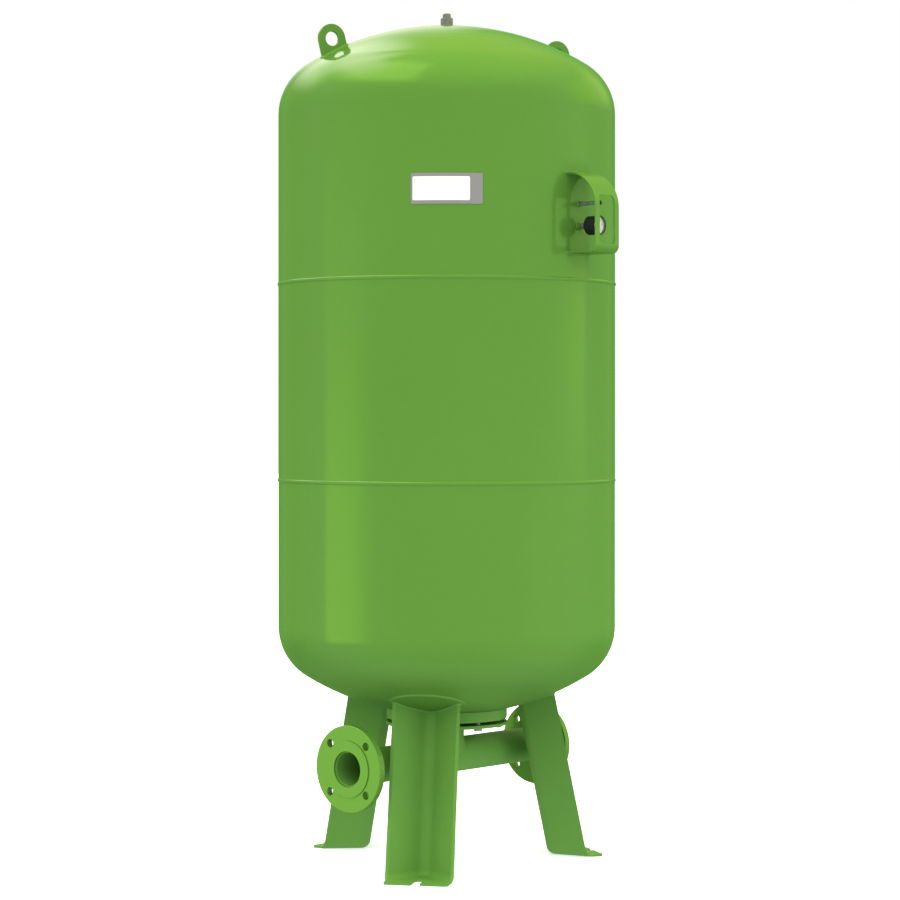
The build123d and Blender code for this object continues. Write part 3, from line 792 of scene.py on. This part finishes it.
@dataclass
class Assembly:
    """Sub-assembly of the vessel, with the palette that it is dressed from."""

    palette: Palette

    def build(self) -> None:
        """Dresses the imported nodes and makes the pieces."""
        raise NotImplementedError

    def add(
        self,
        skin: Skin,
        name: str,
        slot: Slot,
        material: bpy.types.Material | None = None,
        body: Body = Body.VESSEL,
        crease: float = 40.0,
        replaced: Iterable[str] = (),
    ) -> None:
        """Turns a mesh into a piece that rides on a body.

        Args:
            skin: The mesh, which is used up.
            name: Name of the piece.
            slot: Slot of the record that it takes its finish from.
            material: Variant of the finish, if not the usual one.
            body: Body that it rides on.
            crease: Edges sharper than this many degrees stay sharp.
            replaced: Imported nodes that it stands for.
        """
        bmesh.ops.recalc_face_normals(skin.mesh, faces=skin.mesh.faces)
        data = bpy.data.meshes.new(name)
        skin.mesh.to_mesh(data)
        skin.mesh.free()
        data.polygons.foreach_set("use_smooth", [True] * len(data.polygons))
        data.set_sharp_from_angle(angle=math.radians(crease))
        data.materials.append(material or self.palette.materials[slot])
        made = bpy.data.objects.new(name, data)
        bpy.context.scene.collection.objects.link(made)
        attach(made, body.value)
        if replaced:
            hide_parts(*replaced)
        log.info("%s: %d faces", name, len(data.polygons))


@dataclass
class PressureShell(Assembly):
    """Three shell courses with the two girth welds between them."""

    surface: ShellSurface = SHELL
    seam_crown: float = 0.0018
    crown_power: float = 0.7
    seam_steps: int = 1400
    seam_points: int = 9
    ripple_pitch: float = 0.0045
    ripple_height: float = 0.00012

    def build(self) -> None:
        """Dresses the courses and makes their welds."""
        self.palette.dress(Slot.GREEN_COAT, "lower_shell", "middle_shell", "upper_shell")
        for name in ("lower_seam", "upper_seam"):
            self._seam(name)

    def _seam(self, name: str) -> None:
        """Makes one girth weld, with the fine ripples of a machine-laid bead.

        Args:
            name: Node that it stands for.
        """
        low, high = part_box(name)
        level = (low.z + high.z) / 2
        half = (high.z - low.z) / 2
        ripples = round(math.tau * self.surface.radius / self.ripple_pitch)
        skin = Skin()
        rows = []
        for step in range(self.seam_steps):
            turn = math.tau * step / self.seam_steps
            outward = Vector((math.cos(turn), math.sin(turn), 0.0))
            root = outward * (self.surface.radius - self.seam_crown)
            row = [root + UP * (level - half)]
            for point in range(self.seam_points):
                across = 2 * point / (self.seam_points - 1) - 1
                lag = math.sqrt(1 - across * across) * math.pi / 2
                wave = self.ripple_height * math.sin(ripples * turn + lag) * (1 - across * across)
                crown = self.seam_crown * (1 - across * across) ** self.crown_power
                row.append(outward * (self.surface.radius + crown + wave) + UP * (level + across * half))
            row.append(root + UP * (level + half))
            rows.append(row)
        skin.loft(rows, rows_closed=True, loop_closed=True)
        self.add(skin, f"{name}_weld", Slot.GREEN_COAT, replaced=[name])


@dataclass
class BottomCover(Assembly):
    """Neck ring, bolted cover and what holds the bladder's lip."""

    washer_bore: float = 0.0052
    washer_radius: float = 0.0104
    washer_thickness: float = 0.0014

    def build(self) -> None:
        """Dresses the pieces and lays a washer under each bolt head."""
        # The neck ring and cover take the green coat's lighter copy, which is painted light in their shade.
        self.palette.dress(Slot.GREEN_COAT, "neck_ring", "cover_plate", material=self.palette.stand_coat)
        self.palette.dress(Slot.ZINC_STEEL, "cover_bolts")
        self.palette.dress(Slot.BUTYL_RUBBER, "bladder")
        skin = Skin()
        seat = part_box("cover_plate")[0].z
        edge = self.washer_thickness / 6
        profile = (
            (self.washer_bore, 0.0),
            (self.washer_radius, 0.0),
            (self.washer_radius, edge - self.washer_thickness),
            (self.washer_radius - edge, -self.washer_thickness),
            (self.washer_bore, -self.washer_thickness),
        )
        for centre in self._bolts():
            skin.ring(Vector((centre.x, centre.y, seat)), UP, profile, steps=32)
        self.add(skin, "cover_washers", Slot.ZINC_STEEL)

    @staticmethod
    def _bolts() -> list[Vector]:
        """Finds the bolts in the separate forms of their mesh.

        Returns:
            The middle of each bolt.
        """
        mesh = welded_mesh("cover_bolts")
        seen: set[int] = set()
        middles = []
        for start in mesh.verts:
            if start.index in seen:
                continue
            seen.add(start.index)
            form = [start]
            for vert in form:
                for other in (edge.other_vert(vert) for edge in vert.link_edges):
                    if other.index not in seen:
                        seen.add(other.index)
                        form.append(other)
            low = Vector([min(vert.co[i] for vert in form) for i in range(3)])
            high = Vector([max(vert.co[i] for vert in form) for i in range(3)])
            middles.append((low + high) / 2)
        mesh.free()
        return middles


@dataclass
class FlowPipe(Assembly):
    """Flow-through pipe with its riser, divider and flanges."""

    pipe_radius: float = 0.03805
    riser_bead: WeldBead = WeldBead(leg=0.005)
    flange_bead: WeldBead = WeldBead(leg=0.0066)
    saddle_steps: int = 100
    saddle_least: float = 0.05
    saddle_power: float = 0.7
    tangent_limit: float = 1e-6
    flange_fillet: float = 0.006

    def build(self) -> None:
        """Dresses the pipe and makes its welds."""
        self.palette.dress(Slot.GREEN_COAT, "inlet_flange", "outlet_flange")
        # The tee and the pipe's welds take the green coat's lighter copy, which is painted light in the shade
        # under the vessel.
        self.palette.dress(Slot.GREEN_COAT, "flow_tee", material=self.palette.stand_coat)
        self.palette.dress(Slot.ZINC_STEEL, "flow_divider")
        skin = Skin()
        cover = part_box("cover_plate")[0].z
        self.riser_bead.round_node(skin, "flow_tee", LevelSurface(cover), 0.0, keep=self._faces_out)
        self._saddle(skin)
        for name, side in {"inlet_flange": -1, "outlet_flange": 1}.items():
            self._neck(skin, name, side)
        self.add(skin, "pipe_welds", Slot.GREEN_COAT, self.palette.stand_coat)

    @staticmethod
    def _faces_out(root: Vector, side: Vector) -> bool:
        """Whether a side at the riser's top faces away from its axis, as its outside does."""
        return side.xy.dot(root.xy) > 0

    @property
    def axis_height(self) -> float:
        """Height of the pipe's axis."""
        return middle("inlet_flange").z

    def _saddle(self, skin: Skin) -> None:
        """Runs the weld between riser and pipe, which fades where the two skins become tangent.

        Args:
            skin: Mesh that takes it.
        """
        for side in (1, -1):
            stitches = []
            scales = []
            for step in range(self.saddle_steps + 1):
                turn = math.pi * step / self.saddle_steps
                run_normal = Vector((0, math.cos(turn), math.sin(turn)))
                riser_normal = Vector((side * math.sin(turn), math.cos(turn), 0))
                across, rise = self.pipe_radius * math.cos(turn), self.pipe_radius * math.sin(turn)
                root = Vector((side * rise, across, self.axis_height + rise))
                along_run = riser_normal - run_normal * riser_normal.dot(run_normal)
                along_riser = run_normal - riser_normal * run_normal.dot(riser_normal)
                scales.append(max(self.saddle_least, math.sin(turn)) ** self.saddle_power)
                if along_run.length < self.tangent_limit:
                    along_run, along_riser = Vector((side, 0, 0)), UP
                stitches.append(WeldStitch(root, along_run.normalized(), along_riser.normalized()))
            self.riser_bead.bead(skin, stitches, closed=False, scales=scales)

    def _neck(self, skin: Skin, name: str, side: int) -> None:
        """Runs the weld between the pipe and a flange's back.

        Args:
            skin: Mesh that takes it.
            name: The flange's node.
            side: 1 on the +X end, -1 on the other.
        """
        low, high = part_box(name)
        back = low.x + self.flange_fillet if side > 0 else high.x - self.flange_fillet
        steps = round(math.tau * self.pipe_radius / self.flange_bead.step)
        stitches = []
        for step in range(steps):
            turn = math.tau * step / steps
            outward = Vector((0, math.cos(turn), math.sin(turn)))
            root = outward * self.pipe_radius + Vector((back, 0, self.axis_height))
            stitches.append(WeldStitch(root, Vector((-side, 0, 0)), outward))
        self.flange_bead.bead(skin, stitches, closed=True)


@dataclass
class Legs(Assembly):
    """Three folded legs on their doubler pads."""

    names: tuple[str, ...] = ("front_left", "front_right", "rear")
    pad_thickness: float = 0.003
    surface: ShellSurface = SHELL
    pad_bead: WeldBead = WeldBead(leg=0.0014)
    leg_bead: WeldBead = WeldBead(leg=0.0035)

    def build(self) -> None:
        """Dresses the legs and makes their welds."""
        for name in self.names:
            leg, pad = f"leg_{name}", f"leg_pad_{name}"
            # Each leg and its welds take the green coat's lighter copy, which is painted light in the shade
            # under the vessel.
            self.palette.dress(Slot.GREEN_COAT, leg, material=self.palette.stand_coat)
            self.palette.dress(Slot.GREEN_COAT, pad)
            skin = Skin()
            beads = self.pad_bead.round_node(skin, pad, self.surface, SEAT_GAP)
            beads += self.leg_bead.round_node(skin, leg, self.surface, 2 * SEAT_GAP + self.pad_thickness)
            log.info("%s: %d beads", leg, beads)
            self.add(skin, f"{leg}_welds", Slot.GREEN_COAT, self.palette.stand_coat)


@dataclass
class ShellFittings(Assembly):
    """Lugs, guard and sockets that are welded to the shell."""

    surface: ShellSurface = SHELL
    weld_pitch: float = 0.9
    welds: tuple[tuple[str, float], ...] = (
        ("lifting_lug_left", 0.004),
        ("lifting_lug_right", 0.004),
        ("guard_hood", 0.0022),
        ("gauge_socket", 0.0016),
        ("valve_socket", 0.0014),
    )

    def build(self) -> None:
        """Dresses the fittings and makes their welds."""
        for node, leg in self.welds:
            self.palette.dress(Slot.GREEN_COAT, node)
            skin = Skin()
            bead = WeldBead(leg=leg, pitch=leg * self.weld_pitch)
            beads = bead.round_node(skin, node, self.surface, SEAT_GAP)
            log.info("%s: %d beads", node, beads)
            self.add(skin, f"{node}_weld", Slot.GREEN_COAT)


@dataclass
class TopFitting(Assembly):
    """Bladder hanger's socket with its plug, and what is clamped below."""

    seal_bore: float = 0.0052
    seal_radius: float = 0.0093
    seal_thickness: float = 0.0012

    def build(self) -> None:
        """Dresses the pieces and lays the seal under the plug."""
        weathered = self.palette.weathered_zinc
        self.palette.dress(Slot.ZINC_STEEL, "hanger_socket", "hanger_plug", material=weathered)
        self.palette.dress(Slot.ZINC_STEEL, "hanger_plate", "hanger_washer", "hanger_nut")
        seat = middle("hanger_socket")
        seat.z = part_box("hanger_socket")[1].z
        bulge = self.seal_radius + self.seal_thickness / 4
        profile = (
            (self.seal_bore, 0.0),
            (self.seal_radius, 0.0),
            (bulge, self.seal_thickness / 2),
            (self.seal_radius, self.seal_thickness),
            (self.seal_bore, self.seal_thickness),
        )
        skin = Skin()
        skin.ring(seat, UP, profile, steps=48)
        self.add(skin, "plug_seal", Slot.BLACK_PLASTIC)


@dataclass
class PressureGauge(Assembly):
    """Gauge on its stem: case, dial, pointer and window."""

    marks: int = 11
    parts_of_mark: int = 5
    number_step: int = 2
    sweep: float = 270.0
    scale_radius: float = 0.0166
    long_mark: float = 0.0024
    short_mark: float = 0.0013
    mark_width: float = 0.00045
    ink_thickness: float = 0.00004
    number_radius: float = 0.0114
    number_size: float = 0.0042
    bezel: Profile = (
        (0.0189, -0.0003),
        (0.0189, 0.0004),
        (0.0193, 0.0009),
        (0.0200, 0.0009),
        (0.02045, 0.0004),
        (0.02045, -0.0030),
        (0.0199, -0.0033),
        (0.0199, -0.0003),
    )
    hub: Profile = (
        (0.0011, 0.0),
        (0.0023, 0.0),
        (0.0023, 0.0003),
        (0.0018, 0.0006),
        (0.0011, 0.0007),
    )

    def build(self) -> None:
        """Dresses the gauge, prints its dial and sets its bezel and the pointer's hub."""
        self.palette.dress(Slot.NICKEL_BRASS, "gauge_stem", "gauge_arbor")
        self.palette.dress(Slot.BLACK_PLASTIC, "gauge_case", "gauge_pointer")
        self.palette.dress(Slot.DIAL_WHITE, "gauge_dial")
        self.palette.dress(Slot.GAUGE_GLASS, "gauge_lens")
        self._scale()
        self._numbers()
        for name, node, profile, body in (
            ("gauge_bezel", "gauge_case", self.bezel, Body.VESSEL),
            ("pointer_hub", "gauge_pointer", self.hub, Body.POINTER),
        ):
            skin = Skin()
            skin.ring(at_front(self.centre, node), FRONT, profile)
            self.add(skin, name, Slot.BLACK_PLASTIC, body=body)

    @property
    def centre(self) -> Vector:
        """Middle of the dial's face."""
        return at_front(middle("gauge_dial"), "gauge_dial")

    def _direction(self, share: float) -> Vector:
        """Direction on the dial to a share of the scale, 0 at the first mark and 1 at the last."""
        angle = math.radians(self.sweep * (share - 0.5))
        return Vector((math.sin(angle), 0.0, math.cos(angle)))

    def _scale(self) -> None:
        """Prints the marks."""
        skin = Skin()
        fine = (self.marks - 1) * self.parts_of_mark
        lift = FRONT * self.ink_thickness
        for mark in range(fine + 1):
            main = mark % self.parts_of_mark == 0
            length = self.long_mark if main else self.short_mark
            width = self.mark_width if main else self.mark_width / 2
            outward = self._direction(mark / fine)
            across = FRONT.cross(outward) * width / 2
            inner = self.centre + outward * (self.scale_radius - length)
            outer = self.centre + outward * self.scale_radius
            low = [inner - across, outer - across, outer + across, inner + across]
            skin.loft([low, [point + lift for point in low]], rows_closed=True, loop_closed=False)
        self.add(skin, "gauge_scale", Slot.BLACK_PLASTIC, self.palette.dial_ink)

    def _numbers(self) -> None:
        """Prints plain numbers beside every second long mark."""
        skin = Skin()
        for mark in range(0, self.marks, self.number_step):
            text = bpy.data.curves.new("number", "FONT")
            text.body = str(mark)
            text.size = self.number_size
            text.align_x = "CENTER"
            text.align_y = "CENTER"
            text.extrude = self.ink_thickness / 2
            holder = bpy.data.objects.new("number", text)
            bpy.context.scene.collection.objects.link(holder)
            bpy.context.view_layer.update()
            solved = holder.evaluated_get(bpy.context.evaluated_depsgraph_get())
            printed = bpy.data.meshes.new_from_object(solved)
            spot = self.centre + self._direction(mark / (self.marks - 1)) * self.number_radius
            spot += FRONT * self.ink_thickness / 2
            printed.transform(Matrix.Translation(spot) @ Matrix.Rotation(math.radians(90), 4, "X"))
            skin.mesh.from_mesh(printed)
            bpy.data.objects.remove(holder)
            bpy.data.curves.remove(text)
            bpy.data.meshes.remove(printed)
        self.add(skin, "gauge_numbers", Slot.BLACK_PLASTIC, self.palette.dial_ink)


@dataclass
class FillingValve(Assembly):
    """Gas filling valve with its core, pin and screwed cap."""

    body_radius: float = 0.0040
    collar_radius: float = 0.0056
    collar_length: float = 0.0045
    collar_chamfer: float = 0.0006
    thread_turns: int = 14
    thread_pitch: float = 0.0008
    thread_height: float = 0.00022
    thread_flank: float = 0.00032
    cap_end: Profile = (
        (0.0004, -0.0002),
        (0.0046, -0.0002),
        (0.0045, 0.0012),
        (0.0037, 0.0026),
        (0.0022, 0.0034),
        (0.0004, 0.0036),
    )

    def build(self) -> None:
        """Dresses the pieces, sets collar and thread on the body and rounds the cap's end."""
        self.palette.dress(Slot.NICKEL_BRASS, "valve_body")
        self.palette.dress(Slot.BARE_BRASS, "valve_core", "valve_pin")
        self.palette.dress(Slot.BLACK_PLASTIC, "valve_cap")
        axis = middle("valve_cap")
        cap_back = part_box("valve_cap")[1].y
        root = self.body_radius - self.collar_chamfer
        far = self.collar_length
        collar = (
            (root, 0.0),
            (self.collar_radius, 0.0),
            (self.collar_radius, far - self.collar_chamfer),
            (self.collar_radius - self.collar_chamfer, far),
            (root, far),
        )
        skin = Skin()
        skin.ring(at_front(axis, "valve_socket"), FRONT, collar, steps=6)
        self.add(skin, "valve_collar", Slot.NICKEL_BRASS, crease=20.0)
        skin = Skin()
        flank = self.thread_flank
        crest = self.body_radius + self.thread_height
        valley = self.body_radius
        ridge = ((root, -flank), (valley, -flank), (crest, 0.0), (valley, flank), (root, flank))
        for turn in range(1, self.thread_turns + 1):
            place = Vector((axis.x, cap_back + turn * self.thread_pitch, axis.z))
            skin.ring(place, FRONT, ridge, steps=32)
        self.add(skin, "valve_thread", Slot.NICKEL_BRASS, crease=20.0)
        skin = Skin()
        skin.ring(at_front(axis, "valve_cap"), FRONT, self.cap_end, steps=32)
        self.add(skin, "cap_end", Slot.BLACK_PLASTIC, body=Body.CAP)


@dataclass
class NamePlate(Assembly):
    """Bare two-layer name plate."""

    def build(self) -> None:
        """Dresses the pieces."""
        self.palette.dress(Slot.LABEL_GREY, "name_plate")
        self.palette.dress(Slot.LABEL_WHITE, "name_panel")


# ------------------------------------------------------------------------------ studio


@dataclass(frozen=True)
class LightPanel:
    """Soft panel of the surround that the gloss mirrors. Its bounds are in degrees, seen from the vessel.

    An azimuth of 0 is the camera's side and grows to the right of the view. Each bound goes with the width
    of its soft edge, which lies inside it.
    """

    left: tuple[float, float]
    right: tuple[float, float]
    bottom: tuple[float, float]
    top: tuple[float, float]
    colour: Colour

    def share(self, shader: Shader, way: Signal, rise: Signal, camera_azimuth: float) -> Signal:
        """How much of the panel is seen in each direction.

        Args:
            shader: The world's shader.
            way: Direction that is looked along.
            rise: Its elevation in degrees.
            camera_azimuth: Azimuth of the camera.

        Returns:
            0 beside the panel, 1 on it.
        """
        centre = (self.left[0] + self.right[0]) / 2
        ahead = shader.along(way, compass(camera_azimuth + centre))
        aside = shader.along(way, compass(camera_azimuth + centre + 90))
        turn = shader.node("ShaderNodeMath", {"operation": "ARCTAN2"}, {0: aside, 1: ahead})
        turn = turn * math.degrees(1) + centre
        across = shader.fade(turn, self.left[0], self.left[0] + self.left[1])
        across = across * shader.fade(turn, self.right[0], self.right[0] - self.right[1])
        upright = shader.fade(rise, self.bottom[0], self.bottom[0] + self.bottom[1])
        return across * upright * shader.fade(rise, self.top[0], self.top[0] - self.top[1])


@dataclass
class Surround:
    """Studio round the vessel: a white backdrop, an even glow for matt surfaces and panels for the gloss.

    Each pair of bounds is a soft step, over the sine of the elevation or the cosine of the angle from the
    camera's side.
    """

    camera_azimuth: float
    backdrop: Colour = (1.0, 1.0, 1.0)
    horizon: tuple[float, float] = (-0.05, 0.05)
    back_to_side: tuple[float, float] = (-1.0, -0.78)
    side_to_front: tuple[float, float] = (-0.75, 0.1)
    top_to_front: tuple[float, float] = (-0.7, 0.4)
    floor_to_front: tuple[float, float] = (-0.7, 0.3)
    rise_to_top: tuple[float, float] = (0.35, 0.95)
    drop_to_floor: tuple[float, float] = (-0.08, -0.3)
    floor_glow: Colour = (1.08, 1.08, 1.08)
    horizon_front: Colour = (0.70, 0.70, 0.70)
    horizon_side: Colour = (0.94, 0.94, 0.94)
    zenith: Colour = (2.70, 2.55, 2.0)
    mirror_front: Colour = (0.95, 0.95, 0.90)
    mirror_side: Colour = (0.42, 0.74, 0.22)
    mirror_back: Colour = (0.15, 0.48, 0.08)
    mirror_top_front: Colour = (1.8, 1.85, 0.7)
    mirror_top_back: Colour = (1.25, 1.4, 0.25)
    mirror_floor_front: Colour = (1.0, 1.05, 1.0)
    mirror_floor_back: Colour = (0.25, 0.55, 0.12)
    panels: tuple[LightPanel, ...] = (
        LightPanel((-91, 3), (-46, 24), (-17, 4), (7, 14), (2.45, 2.55, 1.1)),
        LightPanel((70, 32), (109, 3), (-2, 4), (7, 6), (1.65, 1.65, 0.75)),
        LightPanel((84, 20), (160, 20), (5, 10), (38, 12), (1.2, 1.5, 0.35)),
        LightPanel((-184, 5), (-160, 12), (6, 12), (46, 24), (1.35, 1.35, 1.0)),
        LightPanel((-175, 10), (-98, 30), (16, 18), (56, 10), (3.4, 2.9, 2.7)),
        LightPanel((-120, 40), (-17, 16), (33, 12), (82, 14), (4.0, 3.6, 1.9)),
        LightPanel((-170, 37), (-48, 50), (41, 12), (72, 12), (6.0, 4.0, 5.0)),
    )

    def build(self) -> None:
        """Makes the world."""
        shader = Shader(bpy.data.worlds.new("studio"))
        way = shader.node("ShaderNodeTexCoord", output="Generated")
        height = shader.node("ShaderNodeSeparateXYZ", inputs={0: way}, output="Z")
        front = shader.along(way, compass(self.camera_azimuth))
        seen = shader.node("ShaderNodeLightPath", output="Is Camera Ray")
        mirrored = shader.node("ShaderNodeLightPath", output="Is Glossy Ray")
        glow = self._matt(shader, height, front)
        around = shader.blend(mirrored, glow, self._gloss(shader, way, height, front))
        colour = shader.blend(seen, around, self.backdrop)
        shade = shader.node("ShaderNodeBackground", inputs={"Color": colour, "Strength": 1.0})
        shader.end(shade, "ShaderNodeOutputWorld")
        bpy.context.scene.world = shader.owner

    def _matt(self, shader: Shader, height: Signal, front: Signal) -> Signal:
        """Glow that lights matt surfaces.

        Args:
            shader: The world's shader.
            height: Sine of the elevation.
            front: Cosine of the angle from the camera's side.

        Returns:
            The colour in each direction.
        """
        horizon = shader.blend(1 - front * front, self.horizon_front, self.horizon_side)
        sky = shader.blend(height, horizon, self.zenith)
        return shader.blend(shader.fade(height, *self.horizon), self.floor_glow, sky)

    def _gloss(self, shader: Shader, way: Signal, height: Signal, front: Signal) -> Signal:
        """Surround that glossy surfaces mirror.

        Args:
            shader: The world's shader.
            way: Direction that is looked along.
            height: Sine of the elevation.
            front: Cosine of the angle from the camera's side.

        Returns:
            The colour in each direction.
        """
        level = shader.blend(shader.fade(front, *self.back_to_side), self.mirror_back, self.mirror_side)
        level = shader.blend(shader.fade(front, *self.side_to_front), level, self.mirror_front)
        share = shader.fade(front, *self.top_to_front)
        high = shader.blend(share, self.mirror_top_back, self.mirror_top_front)
        share = shader.fade(front, *self.floor_to_front)
        low = shader.blend(share, self.mirror_floor_back, self.mirror_floor_front)
        colour = shader.blend(shader.fade(height, *self.rise_to_top), level, high)
        colour = shader.blend(shader.fade(height, *self.drop_to_floor), colour, low)
        rise = shader.node("ShaderNodeMath", {"operation": "ARCSINE"}, {0: height}) * math.degrees(1)
        for panel in self.panels:
            colour = shader.blend(panel.share(shader, way, rise, self.camera_azimuth), colour, panel.colour)
        return colour


@dataclass(frozen=True)
class KeyLight:
    """Large soft lamp for matt surfaces. Its turn is the angle from the camera's side."""

    name: str
    turn: float
    distance: float
    height: float
    size: float
    power: float
    aim_height: float = 1.0

    def build(self, camera_azimuth: float) -> None:
        """Hangs the lamp, facing the vessel's axis.

        Args:
            camera_azimuth: Azimuth of the camera.
        """
        data = bpy.data.lights.new(self.name, "AREA")
        data.shape = "DISK"
        data.size = self.size
        data.energy = self.power
        lamp = bpy.data.objects.new(self.name, data)
        lamp.visible_camera = False
        lamp.visible_glossy = False
        lamp.location = compass(camera_azimuth + self.turn) * self.distance + UP * self.height
        lamp.rotation_mode = "QUATERNION"
        lamp.rotation_quaternion = (UP * self.aim_height - lamp.location).to_track_quat("-Z", "Y")
        bpy.context.scene.collection.objects.link(lamp)


@dataclass
class Studio:
    """Pale floor, surround, lamps and the camera."""

    camera_azimuth: float = -49.0
    camera_distance: float = 6.055
    eye_height: float = 0.9785
    lens: float = 110.0
    sensor: float = 36.0
    shift: tuple[float, float] = (0.0036, -0.0386)
    floor_radius: float = 40.0
    floor_corners: int = 96
    floor_colour: Colour = (0.88, 0.90, 0.98)
    floor_lift: float = 0.45
    floor_roughness: float = 0.9
    speck_scale: float = 3.0
    speck_shade: float = 0.985
    lamps: tuple[KeyLight, ...] = (
        KeyLight("left_key", turn=-55, distance=4.5, height=2.6, size=2.4, power=14.0),
        KeyLight("right_key", turn=75, distance=4.5, height=2.2, size=2.4, power=6.0),
        KeyLight("low_left", turn=-50, distance=1.9, height=0.3, size=0.9, power=1.1, aim_height=0.2),
        KeyLight("low_right", turn=60, distance=1.9, height=0.3, size=0.9, power=6.2, aim_height=0.2),
    )

    def build(self) -> None:
        """Builds the whole studio."""
        self._floor()
        Surround(self.camera_azimuth).build()
        for lamp in self.lamps:
            lamp.build(self.camera_azimuth)
        self._camera()
        view = bpy.context.scene.view_settings
        view.view_transform = "Standard"
        view.look = "None"

    def _floor(self) -> None:
        """Lays a round pale floor, which lights nothing and isn't mirrored."""
        mesh = bmesh.new()
        ring = [compass(360 * i / self.floor_corners) * self.floor_radius for i in range(self.floor_corners)]
        mesh.faces.new([mesh.verts.new(point) for point in ring])
        mesh.normal_update()
        data = bpy.data.meshes.new("floor")
        mesh.to_mesh(data)
        mesh.free()
        shader = Shader(bpy.data.materials.new("pale_floor"))
        speck = shader.noise(shader.place(), self.speck_scale, 3.0)
        pale = tuple(channel * self.speck_shade for channel in self.floor_colour)
        sockets = {
            "Base Color": shader.blend(speck, pale, self.floor_colour),
            "Roughness": self.floor_roughness,
            "Emission Color": (*self.floor_colour, 1.0),
            "Emission Strength": self.floor_lift,
        }
        data.materials.append(shader.surface(sockets))
        floor = bpy.data.objects.new("floor", data)
        floor.visible_glossy = False
        floor.visible_diffuse = False
        bpy.context.scene.collection.objects.link(floor)

    def _camera(self) -> None:
        """Sets the camera level, at the height of the vessel's middle."""
        data = bpy.data.cameras.new("camera")
        data.lens = self.lens
        data.sensor_width = self.sensor
        data.shift_x, data.shift_y = self.shift
        data.clip_start, data.clip_end = 0.1, 100.0
        camera = bpy.data.objects.new("camera", data)
        outward = compass(self.camera_azimuth)
        camera.location = outward * self.camera_distance + UP * self.eye_height
        camera.rotation_mode = "QUATERNION"
        camera.rotation_quaternion = (-outward).to_track_quat("-Z", "Y")
        bpy.context.scene.collection.objects.link(camera)
        bpy.context.scene.camera = camera


def main() -> None:
    """Builds the studio and every sub-assembly."""
    logging.basicConfig(level=logging.INFO, format="%(name)s %(message)s")
    Studio().build()
    palette = Palette()
    for assembly in (
        PressureShell,
        BottomCover,
        FlowPipe,
        Legs,
        ShellFittings,
        TopFitting,
        PressureGauge,
        FillingValve,
        NamePlate,
    ):
        assembly(palette).build()
        log.info("built %s", assembly.__name__)
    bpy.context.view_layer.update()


if __name__ == "__main__":
    main()
